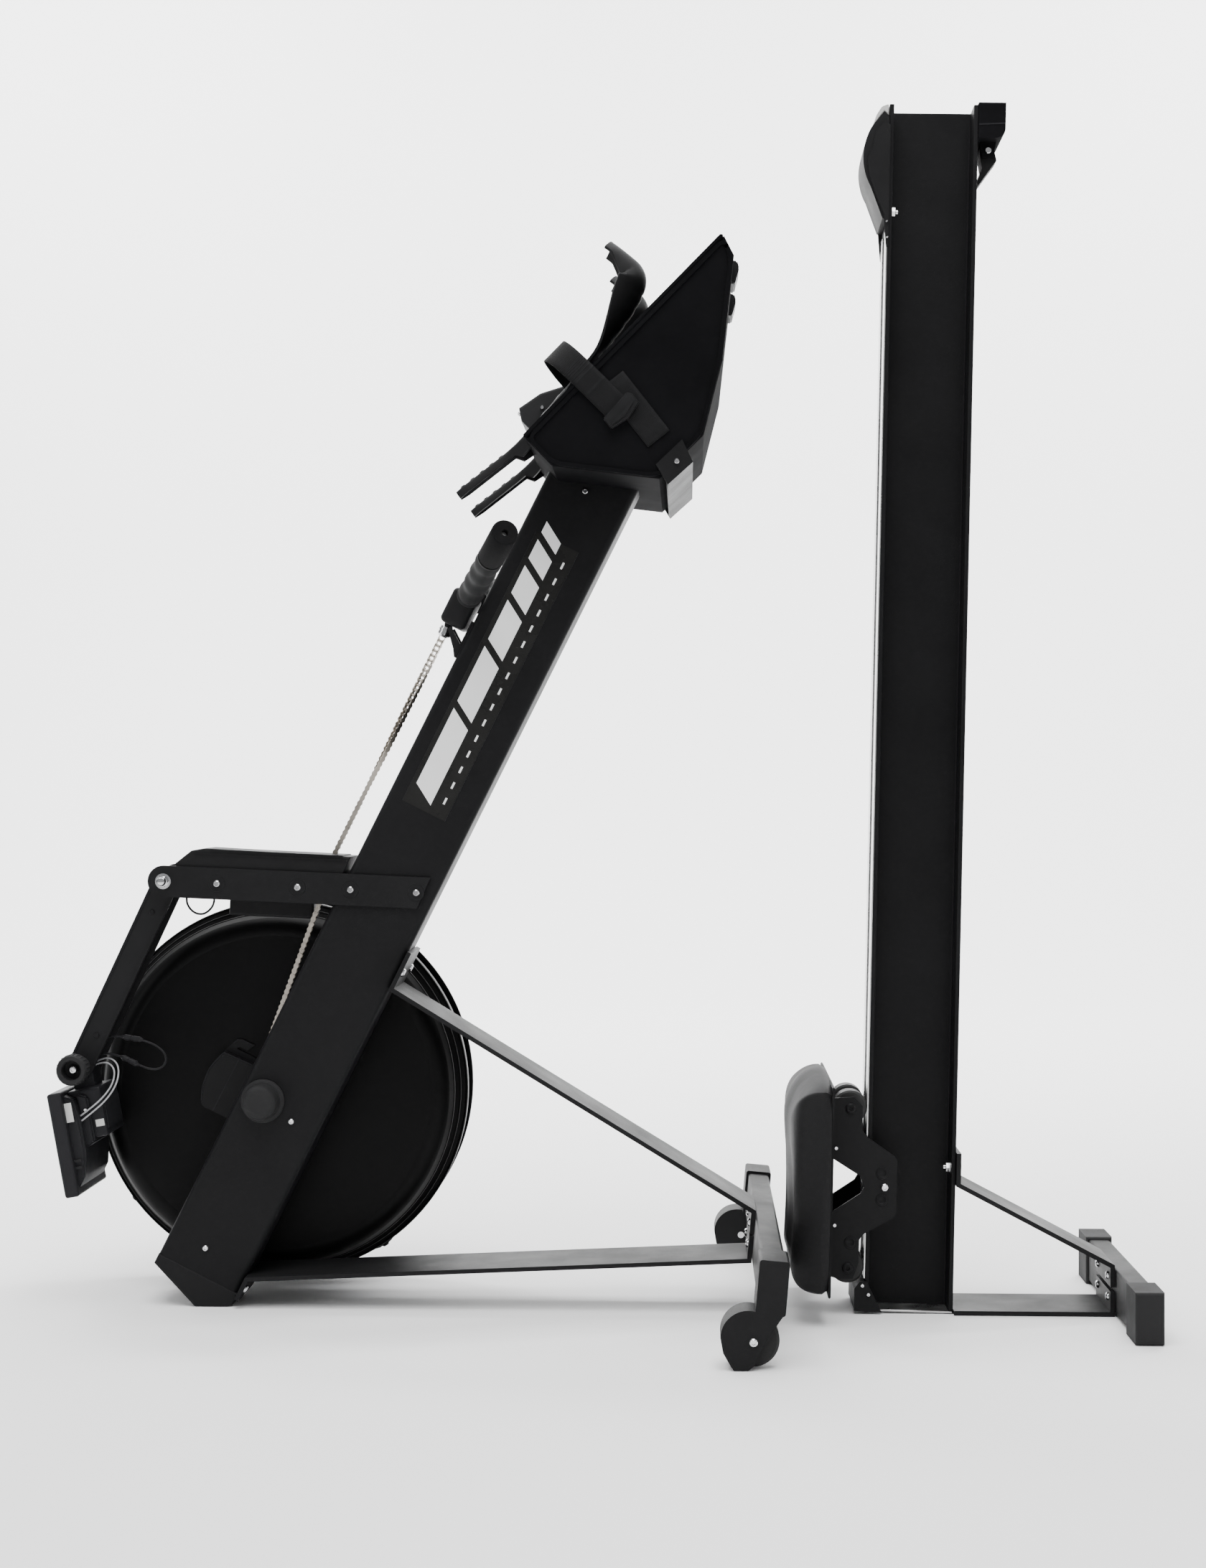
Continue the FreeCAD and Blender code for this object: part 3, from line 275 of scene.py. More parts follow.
def add_prism(bm, outline, low, high, place=None, bevel=0.0, steps=2):
    """A slab with this outline in x and z, from y low to high, all in millimetres."""
    own = bmesh.new()
    front = [own.verts.new((x * MM, low * MM, z * MM)) for x, z in outline]
    back = [own.verts.new((x * MM, high * MM, z * MM)) for x, z in outline]
    own.faces.new(front)
    own.faces.new(back[::-1])
    for index in range(len(outline)):
        after = (index + 1) % len(outline)
        own.faces.new((front[index], back[index], back[after], front[after]))
    bmesh.ops.recalc_face_normals(own, faces=own.faces)
    if bevel:
        sharp = [edge for edge in own.edges if edge.calc_face_angle(0) > math.radians(25)]
        bmesh.ops.bevel(own, geom=sharp, offset=bevel * MM, segments=steps, affect="EDGES",
                        clamp_overlap=True)
    absorb(bm, own, place)


def absorb(bm, own, place):
    if place is not None:
        own.transform(place)
    made = bpy.data.meshes.new("part")
    own.to_mesh(made)
    own.free()
    bm.from_mesh(made)
    bpy.data.meshes.remove(made)


def add_turned(bm, profile, place=None, steps=40, hexed=()):
    """A profile of reach and y in millimetres, turned about the y axis."""
    own = bmesh.new()
    rings = []
    for index, (reach, y) in enumerate(profile):
        if reach == 0:
            rings.append([own.verts.new((0, y * MM, 0))])
            continue
        ring = []
        for step in range(steps):
            angle = 2 * math.pi * step / steps
            wide = reach
            if index in hexed:
                wide = reach * 0.9 / math.cos((angle % (math.pi / 3)) - math.pi / 6)
            ring.append(own.verts.new((wide * MM * math.cos(angle), y * MM, wide * MM * math.sin(angle))))
        rings.append(ring)
    for first, second in zip(rings, rings[1:]):
        for step in range(steps):
            after = (step + 1) % steps
            corners = {0: first[step % len(first)], 1: second[step % len(second)],
                       2: second[after % len(second)], 3: first[after % len(first)]}
            spots = []
            for corner in corners.values():
                if corner not in spots:
                    spots.append(corner)
            if len(spots) > 2:
                own.faces.new(spots)
    if len(rings[0]) > 1 and profile[0] != profile[-1]:
        own.faces.new(rings[0])
        if len(rings[-1]) > 1:
            own.faces.new(rings[-1])
    bmesh.ops.recalc_face_normals(own, faces=own.faces)
    absorb(bm, own, place)


def facing(x, y, z, direction):
    """The place of a turned piece whose +y end points along the direction."""
    turn = Vector((0, 1, 0)).rotation_difference(Vector(direction)).to_matrix().to_4x4()
    return Matrix.Translation(Vector((x, y, z)) * MM) @ turn


def prism(name, outline, low, high, place, body, slot, bevel=0.8, steps=2, smooth=40, material=None):
    bm = bmesh.new()
    add_prism(bm, outline, low, high, None, bevel, steps)
    return finish_mesh(name, bm, place, body, slot, smooth, material)


def turned(name, profile, place, body, slot, steps=48):
    bm = bmesh.new()
    add_turned(bm, profile, None, steps)
    return finish_mesh(name, bm, place, body, slot)


def add_bolt(bm, place, reach=4.4, rise=2.8):
    """A domed bolt head with a hexagonal socket, standing on y 0 and pointing along +y."""
    add_turned(bm, [(reach, 0), (reach, rise * 0.3), (reach * 0.9, rise * 0.7), (reach * 0.65, rise),
                    (reach * 0.46, rise), (reach * 0.42, rise * 0.35), (0, rise * 0.35)], place, 36, (4, 5))


def add_nut(bm, place, reach=5.4, rise=5.0):
    add_turned(bm, [(reach * 1.25, 0), (reach * 1.25, 0.8), (reach, 0.9), (reach, rise - 0.6),
                    (reach * 0.8, rise), (reach * 0.5, rise), (reach * 0.5, rise + 2.5), (0, rise + 3)],
               place, 36, (2, 3))


def bolts(name, body, slot, spots, replaced=()):
    """Bolts on one body: each is (frame, x, y, z, direction, kind, reach)."""
    bm = bmesh.new()
    for frame_of, x, y, z, direction, kind, reach in spots:
        place = frame_of @ facing(x, y, z, direction)
        if kind == "nut":
            add_nut(bm, place, reach)
        else:
            add_bolt(bm, place, reach)
    piece = finish_mesh(name, bm, WORLD, body, slot, 35)
    if replaced:
        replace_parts(piece, *replaced)
    return piece


def smooth_path(points, steps=8):
    """Points on a smooth line through the given ones."""
    line = []
    for index in range(len(points) - 1):
        before = Vector(points[max(index - 1, 0)])
        start = Vector(points[index])
        end = Vector(points[index + 1])
        after = Vector(points[min(index + 2, len(points) - 1)])
        for step in range(steps):
            t = step / steps
            bend = 2 * before - 5 * start + 4 * end - after
            swing = 3 * start - before - 3 * end + after
            line.append(0.5 * (2 * start + (end - before) * t + bend * t * t + swing * t ** 3))
    line.append(Vector(points[-1]))
    return line


# ---- free cords ------------------------------------------------------------------------

LEAD_REACH = 1.2
WIRE_REACH = 0.96
LEAD_ROUTE = [(-582, -8, 292), (-573, -9, 302), (-559, -13, 307.5), (-541, -18, 307), (-520, -23, 304.5),
              (-503, -27, 299.5), (-491, -30, 291), (-488, -31, 280.5), (-495, -31, 272),
              (-508, -30, 271), (-524, -27, 277), (-541, -22, 284), (-557, -16, 287.5), (-569, -11, 287),
              (-578, -7, 283.5)]
FIRST_ROUTE = [(13, -8, -2), (24, -12, 0), (35, -19, -3), (41.5, -29, -12), (38, -38, -26),
               (26, -43.5, -38), (11, -45, -47), (-5.4, -44.5, -55)]
SECOND_ROUTE = [(13, -3, 1), (24, -7, 4), (37, -14, 2.5), (46, -25, -8), (43.5, -36, -25),
                (31, -42.5, -40), (14, -45.5, -51), (-5.4, -46.5, -61)]
HINGE_ROUTE = [(27, -24, -6), (24.5, -24.5, -17), (27, -25, -28), (36, -26, -36), (47, -26, -36.5),
               (56, -25, -28), (58, -24.5, -17), (56, -24, -6)]


def free_cord(name, route, place, body, slot, reach, node):
    curve = bpy.data.curves.new(name, "CURVE")
    curve.dimensions = "3D"
    curve.bevel_depth = reach * MM
    curve.bevel_resolution = 5
    curve.resolution_u = 10
    spline = curve.splines.new("NURBS")
    spline.points.add(len(route) - 1)
    for point, spot in zip(spline.points, route):
        point.co = (*(Vector(spot) * MM), 1)
    spline.order_u = 3
    spline.use_endpoint_u = True
    piece = finish_piece(name, curve, place, body, slot)
    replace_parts(piece, node)
    return piece


def connector(name, start, end):
    """An in-line connector along the lead, given as two of its points in millimetres."""
    line = Vector(end) - Vector(start)
    middle = (Vector(start) + Vector(end)) / 2
    half = line.length / 2
    bm = bmesh.new()
    place = facing(middle.x, middle.y, middle.z, line)
    add_turned(bm, [(1.5, -half - 3), (2.4, -half), (3.3, -half + 1), (3.3, -1.2), (2.8, -1), (2.8, 1),
                    (3.3, 1.2), (3.3, half - 1), (2.4, half), (1.5, half + 3)], place, 20)
    return finish_mesh(name, bm, WORLD, "arm", "cable_black")


connectors = [connector("lead_connector_a", LEAD_ROUTE[3], LEAD_ROUTE[4]),
              connector("lead_connector_b", LEAD_ROUTE[10], LEAD_ROUTE[11])]
free_cord("lead", LEAD_ROUTE, WORLD, "arm", "cable_black", LEAD_REACH, "monitor_lead")
free_cord("wire_one", FIRST_ROUTE, MONITOR, "monitor", "wire_grey", WIRE_REACH, "monitor_wire_one")
free_cord("wire_two", SECOND_ROUTE, MONITOR, "monitor", "wire_grey", WIRE_REACH, "monitor_wire_two")
free_cord("hinge_loop", HINGE_ROUTE, BAR, "front_half", "cable_black", LEAD_REACH, "hinge_cable")

# ---- the frame's own parts take their finish -------------------------------------------

for label, item in nodes.items():
    item.data.materials.clear()
    item.data.materials.append(FINISH[slot_of[label]])
    soften(item, 32)


# ---- seat ------------------------------------------------------------------------------

def seat_cushion():
    """A moulded seat: rounded in plan, crowned at the rim, with two hollows and a notch."""
    across, along = 64, 60
    bm = bmesh.new()
    low, high = 21.0, 270.0
    middle, half_long, half_wide = (low + high) / 2, (high - low) / 2, 131.0
    squareness, plate_x = 0.35, -46
    edge_thick, crown_thick = 6, 39
    top, under = [], []
    for row in range(along + 1):
        v = -math.cos(math.pi * row / along)
        top.append([])
        under.append([])
        for column in range(across + 1):
            u = -math.cos(math.pi * column / across)
            wide = u * math.sqrt(1 - v * v / 2) ** squareness
            long = v * math.sqrt(1 - u * u / 2) ** squareness
            y = wide * half_wide
            z = middle + long * half_long
            rim = max(abs(u), abs(v))
            crown = (1 - rim ** 7) ** 0.45 if rim < 1 else 0.0
            hollow = sum(math.exp(-((y - side * 56) / 44) ** 2 - ((z - 118) / 70) ** 2) for side in (-1, 1))
            ridge = math.exp(-(y / 26) ** 2) * max(0.0, min(1.0, (z - 150) / 80))
            notch = math.exp(-(y / 20) ** 2) * max(0.0, min(1.0, (70 - z) / 40))
            corner = max(0.0, (z - 215) / 55) ** 2 * 13
            thick = (edge_thick + crown * (crown_thick - corner * 0.9)
                     - crown * (9 * hollow - 4 * ridge + 16 * notch))
            top[-1].append(bm.verts.new(Vector((plate_x - thick, y, z)) * MM))
            inset = 1 - 0.03 * rim
            under[-1].append(bm.verts.new(Vector((plate_x, y * inset, middle + (z - middle) * inset)) * MM))
    for row in range(along):
        for column in range(across):
            for grid, flip in ((top, 1), (under, -1)):
                corners = [grid[row][column], grid[row][column + 1], grid[row + 1][column + 1],
                           grid[row + 1][column]]
                bm.faces.new(corners[::flip])
    rim_line = [(0, c) for c in range(across)] + [(r, across) for r in range(along)]
    rim_line += [(along, c) for c in range(across, 0, -1)] + [(r, 0) for r in range(along, 0, -1)]
    for start, end in zip(rim_line, rim_line[1:] + rim_line[:1]):
        bm.faces.new((top[start[0]][start[1]], under[start[0]][start[1]], under[end[0]][end[1]],
                      top[end[0]][end[1]]))
    piece = finish_mesh("seat_pad", bm, REAR, "seat", "seat_skin", 50)
    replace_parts(piece, "seat_cushion")


seat_cushion()
prism("seat_base_plate", [(-46, 30), (-46, 262), (-43.2, 262), (-43.2, 30)], -118, 118, REAR, "seat",
      "plastic_black", 0.8)

carriage = bmesh.new()
for side in (-1, 1):
    for x, z in ((16.5, 158), (16.5, 128), (-18, 79)):
        add_turned(carriage, [(7, 0), (6.6, 0.8), (4.4, 1.2), (3.6, 0.5), (0, 0.4)],
                   facing(x, side * 48, z, (0, side, 0)), 28)
finish_mesh("carriage_embosses", carriage, REAR, "seat", "plate_black")
bolts("carriage_black_bolts", "seat", "plate_black",
      [(REAR, -20.5, side * 48, z, (0, side, 0), "button", 6.2) for side in (-1, 1) for z in (50, 230)])
bolts("carriage_bright_bolts", "seat", "bolt_chrome",
      [(REAR, 19.4, side * 48, 142, (0, side, 0), "button", 4.8) for side in (-1, 1)]
      + [(REAR, -36, side * 48, z, (0, side, 0), "button", 2.6) for side in (-1, 1) for z in (98, 185)])

# ---- handle ----------------------------------------------------------------------------

GRIP_START = Vector((832, 0, 22))
GRIP_END = Vector((916.5, -230, -11))


def grip_frame(side):
    """The frame along one arm of the handle: +y runs from the block to its end."""
    start = Vector((GRIP_START.x, 0, GRIP_START.z)) * MM
    line = Vector((GRIP_END.x - GRIP_START.x, side * abs(GRIP_END.y), GRIP_END.z - GRIP_START.z))
    turn = Vector((0, 1, 0)).rotation_difference(line).to_matrix().to_4x4()
    return FRONT @ Matrix.Translation(start) @ turn


ARM_LONG = (GRIP_END - GRIP_START).length
GRIP_FROM, GRIP_SHARE, GRIP_WAVES, GRIP_STEPS = 0.17, 0.52, 4, 60
BAR_REACH, GRIP_REACH, FOAM_REACH = 6.4, 13.2, 14.5
grips, ends = bmesh.new(), bmesh.new()
for side in (-1, 1):
    place = grip_frame(side)
    profile = [(BAR_REACH, GRIP_FROM * ARM_LONG)]
    for step in range(GRIP_STEPS + 1):
        share = step / GRIP_STEPS
        wave = 0.5 - 0.5 * math.cos(2 * math.pi * GRIP_WAVES * share)
        lip = 1.5 if step < 2 or step > GRIP_STEPS - 2 else 0.0
        profile.append((GRIP_REACH + 1.7 * wave + lip, (GRIP_FROM + GRIP_SHARE * share) * ARM_LONG))
    profile.append((BAR_REACH, (GRIP_FROM + GRIP_SHARE) * ARM_LONG))
    add_turned(grips, profile, place, 40)
    foam_from = 0.695 * ARM_LONG
    add_turned(ends, [(BAR_REACH, foam_from), (GRIP_REACH, foam_from), (FOAM_REACH, 0.702 * ARM_LONG),
                      (FOAM_REACH, ARM_LONG - 1.6), (GRIP_REACH, ARM_LONG), (3.6, ARM_LONG),
                      (3.2, ARM_LONG - 8), (0, ARM_LONG - 8)], place, 44)
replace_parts(finish_mesh("finger_grips", grips, WORLD, "handle", "grip_rubber", 60),
            "handle_grips")
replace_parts(finish_mesh("foam_ends", ends, WORLD, "handle", "foam_grey", 50),
            "handle_ends")
turned("swivel_neck", [(3, 7), (8.4, 7.2), (8.4, 9), (7.6, 9.2), (7.6, 10.5), (3, 10.7)],
       FRONT @ facing(791, 0, 28, (1, 0, 0)), "handle", "bolt_chrome", 32)


CHAIN_PITCH = 6.35


def chain(name, start, end, turns, body, node):
    """A roller chain between two places, twisting by the given turns near its end."""
    first, last = Vector(start), Vector(end)
    line = last - first
    count = round(line.length / CHAIN_PITCH)
    pitch = line.length / count
    bm = bmesh.new()
    lie = Vector((1, 0, 0)).rotation_difference(line).to_matrix().to_4x4()
    outline = []
    eye, waist = 2.9, 1.9
    for step in range(10):
        angle = math.radians(60 + 240 * step / 9)
        outline.append((eye * math.cos(angle), eye * math.sin(angle)))
    outline.append((pitch / 2, -waist))
    outline += [(pitch - x, z) for x, z in outline[9::-1]]
    outline.append((pitch / 2, waist))
    for index in range(count):
        share = max(0.0, (index / count - 0.35) / 0.65)
        twist = Matrix.Rotation(turns * 2 * math.pi * share, 4, "X")
        at = first + line * (index / count)
        place = Matrix.Translation(at * MM) @ lie @ twist
        reach = 3.4 if index % 2 else 2.4
        plate = 0.7
        for side in (-1, 1):
            low = side * reach - plate / 2
            add_prism(bm, outline, low, low + plate, place)
        add_turned(bm, [(0, -3.9), (1.1, -3.9), (1.1, 3.9), (0, 3.9)], place, 8)
        add_turned(bm, [(0, -1.7), (1.65, -1.7), (1.65, 1.7), (0, 1.7)], place, 10)
    piece = finish_mesh(name, bm, FRONT, body, "chain_nickel", 40)
    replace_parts(piece, node)


chain("chain_links_lower", (222, 0, -7.5), (469.5, 0, 20.3), 0, "front_half", "chain_lower")
chain("chain_links_upper", (449, 0, 28), (792, 0, 28), 0.25, "handle", "chain_upper")

# ---- foot stretcher --------------------------------------------------------------------

SOLE = [(941, 74), (975, 57.6), (1010, 41), (1040, 29), (1085, 17), (1130, 4.5), (1175, -5), (1215, -11.5),
        (1243, -9.5), (1257, 2), (1263, 22), (1267, 44)]
STRIP_FALL = 0.485


def half_width(along):
    if along < 1003:
        return 12 * min(1.0, 0.55 + (along - 941) / 18)
    if along < 1042:
        share = (along - 1003) / 39
        return 12 + 24 * share * share * (3 - 2 * share)
    if along < 1240:
        return 36
    return 36 - 9 * ((along - 1240) / 27) ** 2


def footplate(name, body, middle, node):
    """A shaped sole: a narrow perforated toe strip, a wide sole and a cupped heel."""
    line = smooth_path([(x, 0, z) for x, z in SOLE], 6)
    bm = bmesh.new()
    grid = []
    across, strip_end, heel_start = 16, 1012, 1140
    for index, spot in enumerate(line):
        before, after = line[max(index - 1, 0)], line[min(index + 1, len(line) - 1)]
        ahead = (after - before).normalized()
        normal = Vector((-ahead.z, 0, ahead.x))
        half = half_width(spot.x)
        rise = max(0.0, min(1.0, (spot.x - heel_start) / 88))
        cup = 1.2 + 27 * rise * rise * (3 - 2 * rise) - 17 * max(0.0, min(1.0, (spot.z - 5) / 30))
        if spot.x < strip_end:
            cup = -7.5
        grid.append([])
        for column in range(across + 1):
            t = 2 * column / across - 1
            lip = cup * abs(t) ** (9 if cup < 0 else 2.6)
            rib = 0.9 if 1045 < spot.x < 1235 and index % 3 == 0 and abs(t) < 0.7 else 0.0
            at = spot + normal * (lip + rib)
            grid[-1].append(bm.verts.new((at.x * MM, (middle + t * half) * MM, at.z * MM)))
    fill_grid(bm, grid)
    piece = finish_mesh(name, bm, FRONT, body, "plastic_black", 50)
    thicken(piece, 0.0034)
    rim = piece.modifiers.new("Rim", "BEVEL")
    rim.width = 0.0009
    rim.segments = 2
    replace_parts(piece, node)
    eyes = bmesh.new()
    for step in range(5):
        along = 950 + step * 12
        height = 74 - (along - 941) * STRIP_FALL
        for face in (-1, 1):
            for offset in (-5, 5):
                spot = facing(along + face * 0.8, middle + offset, height + face * 2.1,
                              (STRIP_FALL * face, 0, face))
                add_turned(eyes, [(2.9, 0), (2.9, 0.35), (2.1, 0.35), (1.9, -0.6), (0, -0.6)], spot, 14)
    finish_mesh(name + "_holes", eyes, FRONT, body, "rubber_black")


footplate("footplate_shape_near", "near_footplate", -85, "footplate_near")
footplate("footplate_shape_far", "far_footplate", 85, "footplate_far")

SHELL_SIDE = 155
RIM = [(1023, 25), (1316, -71), (1302, -90), (1194, -130), (1112, -148), (1048, -126), (1009, -15)]


def rounded(points, radius, steps=5):
    """The outline with each corner cut by a small arc."""
    outline = []
    for index, spot in enumerate(points):
        here = Vector(spot)
        back = (Vector(points[index - 1]) - here).normalized() * radius
        onward = (Vector(points[(index + 1) % len(points)]) - here).normalized() * radius
        for step in range(steps + 1):
            t = step / steps
            at = here + back * (1 - t) ** 2 + onward * t * t
            outline.append((at.x, at.y))
    return outline


def offset_line(points, distance):
    """The closed outline moved inwards by a distance."""
    moved = []
    for index in range(len(points)):
        before, here, after = points[index - 1], points[index], points[(index + 1) % len(points)]
        ahead = (Vector(after) - Vector(before)).normalized()
        moved.append((here[0] + ahead.y * distance, here[1] - ahead.x * distance))
    return moved


def rim_band(name, lift, width, inset):
    """A raised band that follows the shell's side outline, on both sides."""
    outline = rounded(RIM, 13)
    outer = offset_line(outline, inset)
    inner = offset_line(outline, inset + width)
    bm = bmesh.new()
    for side in (-1, 1):
        rows = []
        low, high = SHELL_SIDE - 1, SHELL_SIDE + lift
        for line, y in ((outer, low), (outer, high), (inner, high), (inner, low)):
            rows.append([bm.verts.new((x * MM, side * y * MM, z * MM)) for x, z in line])
        rows.append(rows[0])
        for first, second in zip(rows, rows[1:]):
            for step in range(len(outline)):
                after = (step + 1) % len(outline)
                bm.faces.new((first[step], first[after], second[after], second[step]))
    piece = finish_mesh(name, bm, FRONT, "front_half", "shell_black", 50)
    edge = piece.modifiers.new("Edge", "BEVEL")
    edge.width = 0.0007
    edge.segments = 2


rim_band("shell_rim_outer", 2.2, 4.5, 1.0)
for label, side in (("near", -1), ("far", 1)):
    prism("board_edge_" + label, [(1024, 28.5), (1316, -67.2), (1314.6, -71.4), (1022.6, 24.2)],
          *span(side, 150, 158), FRONT, "front_half", "shell_black", 1.2, 3)


def toe_strap(name, line, low, high):
    """A strip of webbing along a line, from one x to another, over the shell."""
    bm = bmesh.new()
    across = 6
    grid = []
    for spot in line:
        grid.append([bm.verts.new(((low + (high - low) * c / across) * MM, spot.y * MM, spot.z * MM))
                     for c in range(across + 1)])
    fill_grid(bm, grid)
    piece = finish_mesh(name, bm, BOARD, "front_half", "webbing_black", 60)
    thicken(piece, 0.0017)
    return piece


STRAP_ARCH = [(157.6, -54), (157.8, -26), (158, 2), (152, 26), (138, 42), (117, 50), (95, 50.5), (70, 43),
              (50, 31), (41, 14), (40, 4)]
loops = []
for label, side in (("near", -1), ("far", 1)):
    arch = [(0, side * y, z) for y, z in STRAP_ARCH]
    loops.append(toe_strap("toe_strap_" + label, smooth_path(arch, 6), 78, 108))
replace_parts(loops[0], "toe_straps")


def slant_strip(name, side):
    """Webbing laid down the side of the shell."""
    corners = [(1108.5, -25.5), (1135.5, -38.5), (1100, -113), (1073, -100)]
    a, b, c, d = [Vector(spot) for spot in corners]
    bm = bmesh.new()
    rows, across = 24, 6
    grid = []
    for row in range(rows + 1):
        t = row / rows
        left, right = a.lerp(d, t), b.lerp(c, t)
        bulge = 156.2 + 0.5 * math.sin(math.pi * t)
        grid.append([])
        for column in range(across + 1):
            spot = left.lerp(right, column / across)
            grid[-1].append(bm.verts.new((spot.x * MM, side * bulge * MM, spot.y * MM)))
    fill_grid(bm, grid)
    piece = finish_mesh(name, bm, FRONT, "front_half", "webbing_black", 60)
    thicken(piece, 0.0015)
    return piece


strips = [slant_strip("side_strap_near", -1), slant_strip("side_strap_far", 1)]
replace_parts(strips[0], "side_webbing")

buckles = bmesh.new()
for side in (-1, 1):
    add_prism(buckles, [(72, -62), (74, -47), (112, -45), (116, -50), (114, -63), (93, -67)],
              *span(side, 159.2, 163.6), BOARD, 1.3, 3)
    add_prism(buckles, [(76, -60), (77, -57), (109, -55.5), (110, -58.5), (93, -63)],
              *span(side, 159.2, 164.6), BOARD, 0.5, 2)
    add_prism(buckles, [(1304, -84), (1307, -92.5), (1301, -98), (1283, -101.5), (1280, -93)],
              *span(side, 60, 110), FRONT, 1.5, 3)
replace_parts(finish_mesh("buckles", buckles, WORLD, "front_half", "buckle_black"),
            "strap_buckles")
bolts("wedge_screw", "front_half", "bolt_chrome", [(FRONT, 1062, 0, 62.4, (-0.2, 0, 1), "button", 3.0),
                                                   (FRONT, 1075, -38, 38, (0, -1, 0), "button", 2.6)])

# ---- flywheel --------------------------------------------------------------------------

def perforated_cage():
    """A thin band with rows of square holes."""
    around, rows = 144, 5
    bm = bmesh.new()
    low, high, reach, web = 102.0, 152.0, 216.0, 1.6
    rings = []
    for row in range(rows + 1):
        y = low + (high - low) * row / rows
        rings.append([bm.verts.new((reach * MM * math.cos(2 * math.pi * s / around), y * MM,
                                    reach * MM * math.sin(2 * math.pi * s / around))) for s in range(around)])
    faces = []
    for first, second in zip(rings, rings[1:]):
        for step in range(around):
            after = (step + 1) % around
            faces.append(bm.faces.new((first[step], first[after], second[after], second[step])))
    bmesh.ops.inset_individual(bm, faces=faces, thickness=web * MM)
    bmesh.ops.delete(bm, geom=faces, context="FACES_ONLY")
    piece = finish_mesh("cage_band", bm, WHEEL, "front_half", "cage_grey", 60)
    thicken(piece, 0.0012, -1)
    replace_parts(piece, "flywheel_cage")


perforated_cage()
clamps = bmesh.new()
for degrees in (-57, 217):
    turn = Matrix.Rotation(math.radians(-degrees), 4, "Y")
    add_prism(clamps, [(214, -16), (214, 16), (222, 16), (226, 9), (226, -9), (222, -16)], 96, 157,
              WHEEL @ turn, 1.5, 2)
    for y in (104, 128, 150):
        add_bolt(clamps, WHEEL @ turn @ facing(226, y, 0, (1, 0, 0)), 4.2, 2.4)
finish_mesh("cage_clamps", clamps, WORLD, "front_half", "plastic_black")
for name, reach, y, rise in (("cover_bead_inner", 209.4, 66.5, 1.3), ("cover_bead_middle", 215.4, 79.5, 1.4),
                             ("cover_bead_outer", 222.4, 90.4, 1.6)):
    shoulder = y - rise * 0.6
    turned(name, [(reach - 1.6, y + 1), (reach - 1.2, shoulder), (reach, y - rise), (reach + 1.2, shoulder),
                  (reach + 1.6, y + 1)], WHEEL, "front_half", "housing_black", 120)
caps = bmesh.new()
add_turned(caps, [(0, -33), (25, -33), (25, -36.5), (23.4, -38.4), (20.6, -39.2), (20, -41), (19.6, -54),
                  (18.6, -57.6), (16, -60), (11, -61.2), (0, -61.6)], None, 64)
add_turned(caps, [(0, 165), (13, 165), (13, 173), (8, 177), (0, 177)], None, 48)
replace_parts(finish_mesh("hub_caps", caps, WHEEL, "front_half", "rubber_black", 35),
            "axle_caps")

HOUSING_RIM = [(-86.5, -9), (-85.2, 6.9), (-76.8, 29), (-61.5, 46.2), (-59, 47.9), (-55.5, 46.7),
               (-10.5, 27), (-11, 25.6), (-55.6, 45.1), (-58.7, 46.2), (-60.4, 45.2), (-75.5, 28.3),
               (-83.8, 6.7), (-85.1, -9)]
HOOK_RIM = [(-50.5, 57.4), (-43.5, 61.9), (-37.9, 60.8), (-24.7, 54.9), (-25.5, 53.6), (-38.2, 59.3),
            (-43.1, 60.3), (-49.6, 56.3)]
for name, rim, low, body in (("damper_bead", HOUSING_RIM, 35.3, "front_half"),
                             ("lever_bead", HOOK_RIM, 47.05, "damper")):
    bead = bmesh.new()
    add_prism(bead, rim, low, low + 1.3, None, 0.3, 1)
    finish_mesh(name, bead, WHEEL, body, "monitor_case")
marks = bmesh.new()
add_prism(marks, [(-41.2, 40.9), (-39.9, 41.5), (-71.9, -21.7), (-73.2, -21.1)], 35.8, 36.2)
finish_mesh("damper_marks", marks, WHEEL, "front_half", "monitor_case")

# ---- crossbar, bolts and nose ----------------------------------------------------------

NEAR, FAR = (0, -1, 0), (0, 1, 0)
CROSSBAR_BOLTS = (62, 155, 216, 291.5)
front_spots = []
for x in CROSSBAR_BOLTS:
    front_spots.append((BAR, x, -37.5, 0, NEAR, "button", 4.3))
    front_spots.append((BAR, x, 37, 0, FAR, "nut", 5.2))
for x, z in ((216.5, -68.8), (42, -45.4), (1012, -48)):
    front_spots.append((FRONT, x, -33, z, NEAR, "button", 3.9))
front_spots.append((FRONT, 1073, -158, -135, NEAR, "button", 3.4))
for y in (-36, 36):
    front_spots.append((FRONT, 427, y, -107, (0, 0, -1), "button", 5.2))
    front_spots.append((FRONT, 22, y, -107, (0, 0, -1), "button", 4.6))
for y in (-32, 32):
    for z in (-9, 15):
        front_spots.append((FOOT, -17.5, y, z, (-1, 0, 0), "button", 4.8))
for side in (-1, 1):
    front_spots.append((WORLD, 177, side * 303, 29, (0, side, 0), "button", 4.8))
bolts("frame_heads", "front_half", "bolt_chrome", front_spots, ("frame_bolts",))
pivots = bmesh.new()
add_turned(pivots, [(0, -37), (9, -37), (9, -38.3), (6.6, -38.4), (6.6, -43.6), (6.0, -44.4), (5.4, -44.6),
                    (5.2, -47), (4.0, -49.0), (0, -49.9)], BAR, 36, (3, 4))
add_turned(pivots, [(0, 37), (9, 37), (9, 38.3), (6.6, 38.4), (6.6, 43), (5.6, 44), (0, 44)], BAR, 36, (3, 4))
add_turned(pivots, [(0, -37), (4, -37), (4, 37), (0, 37)], BAR, 24)
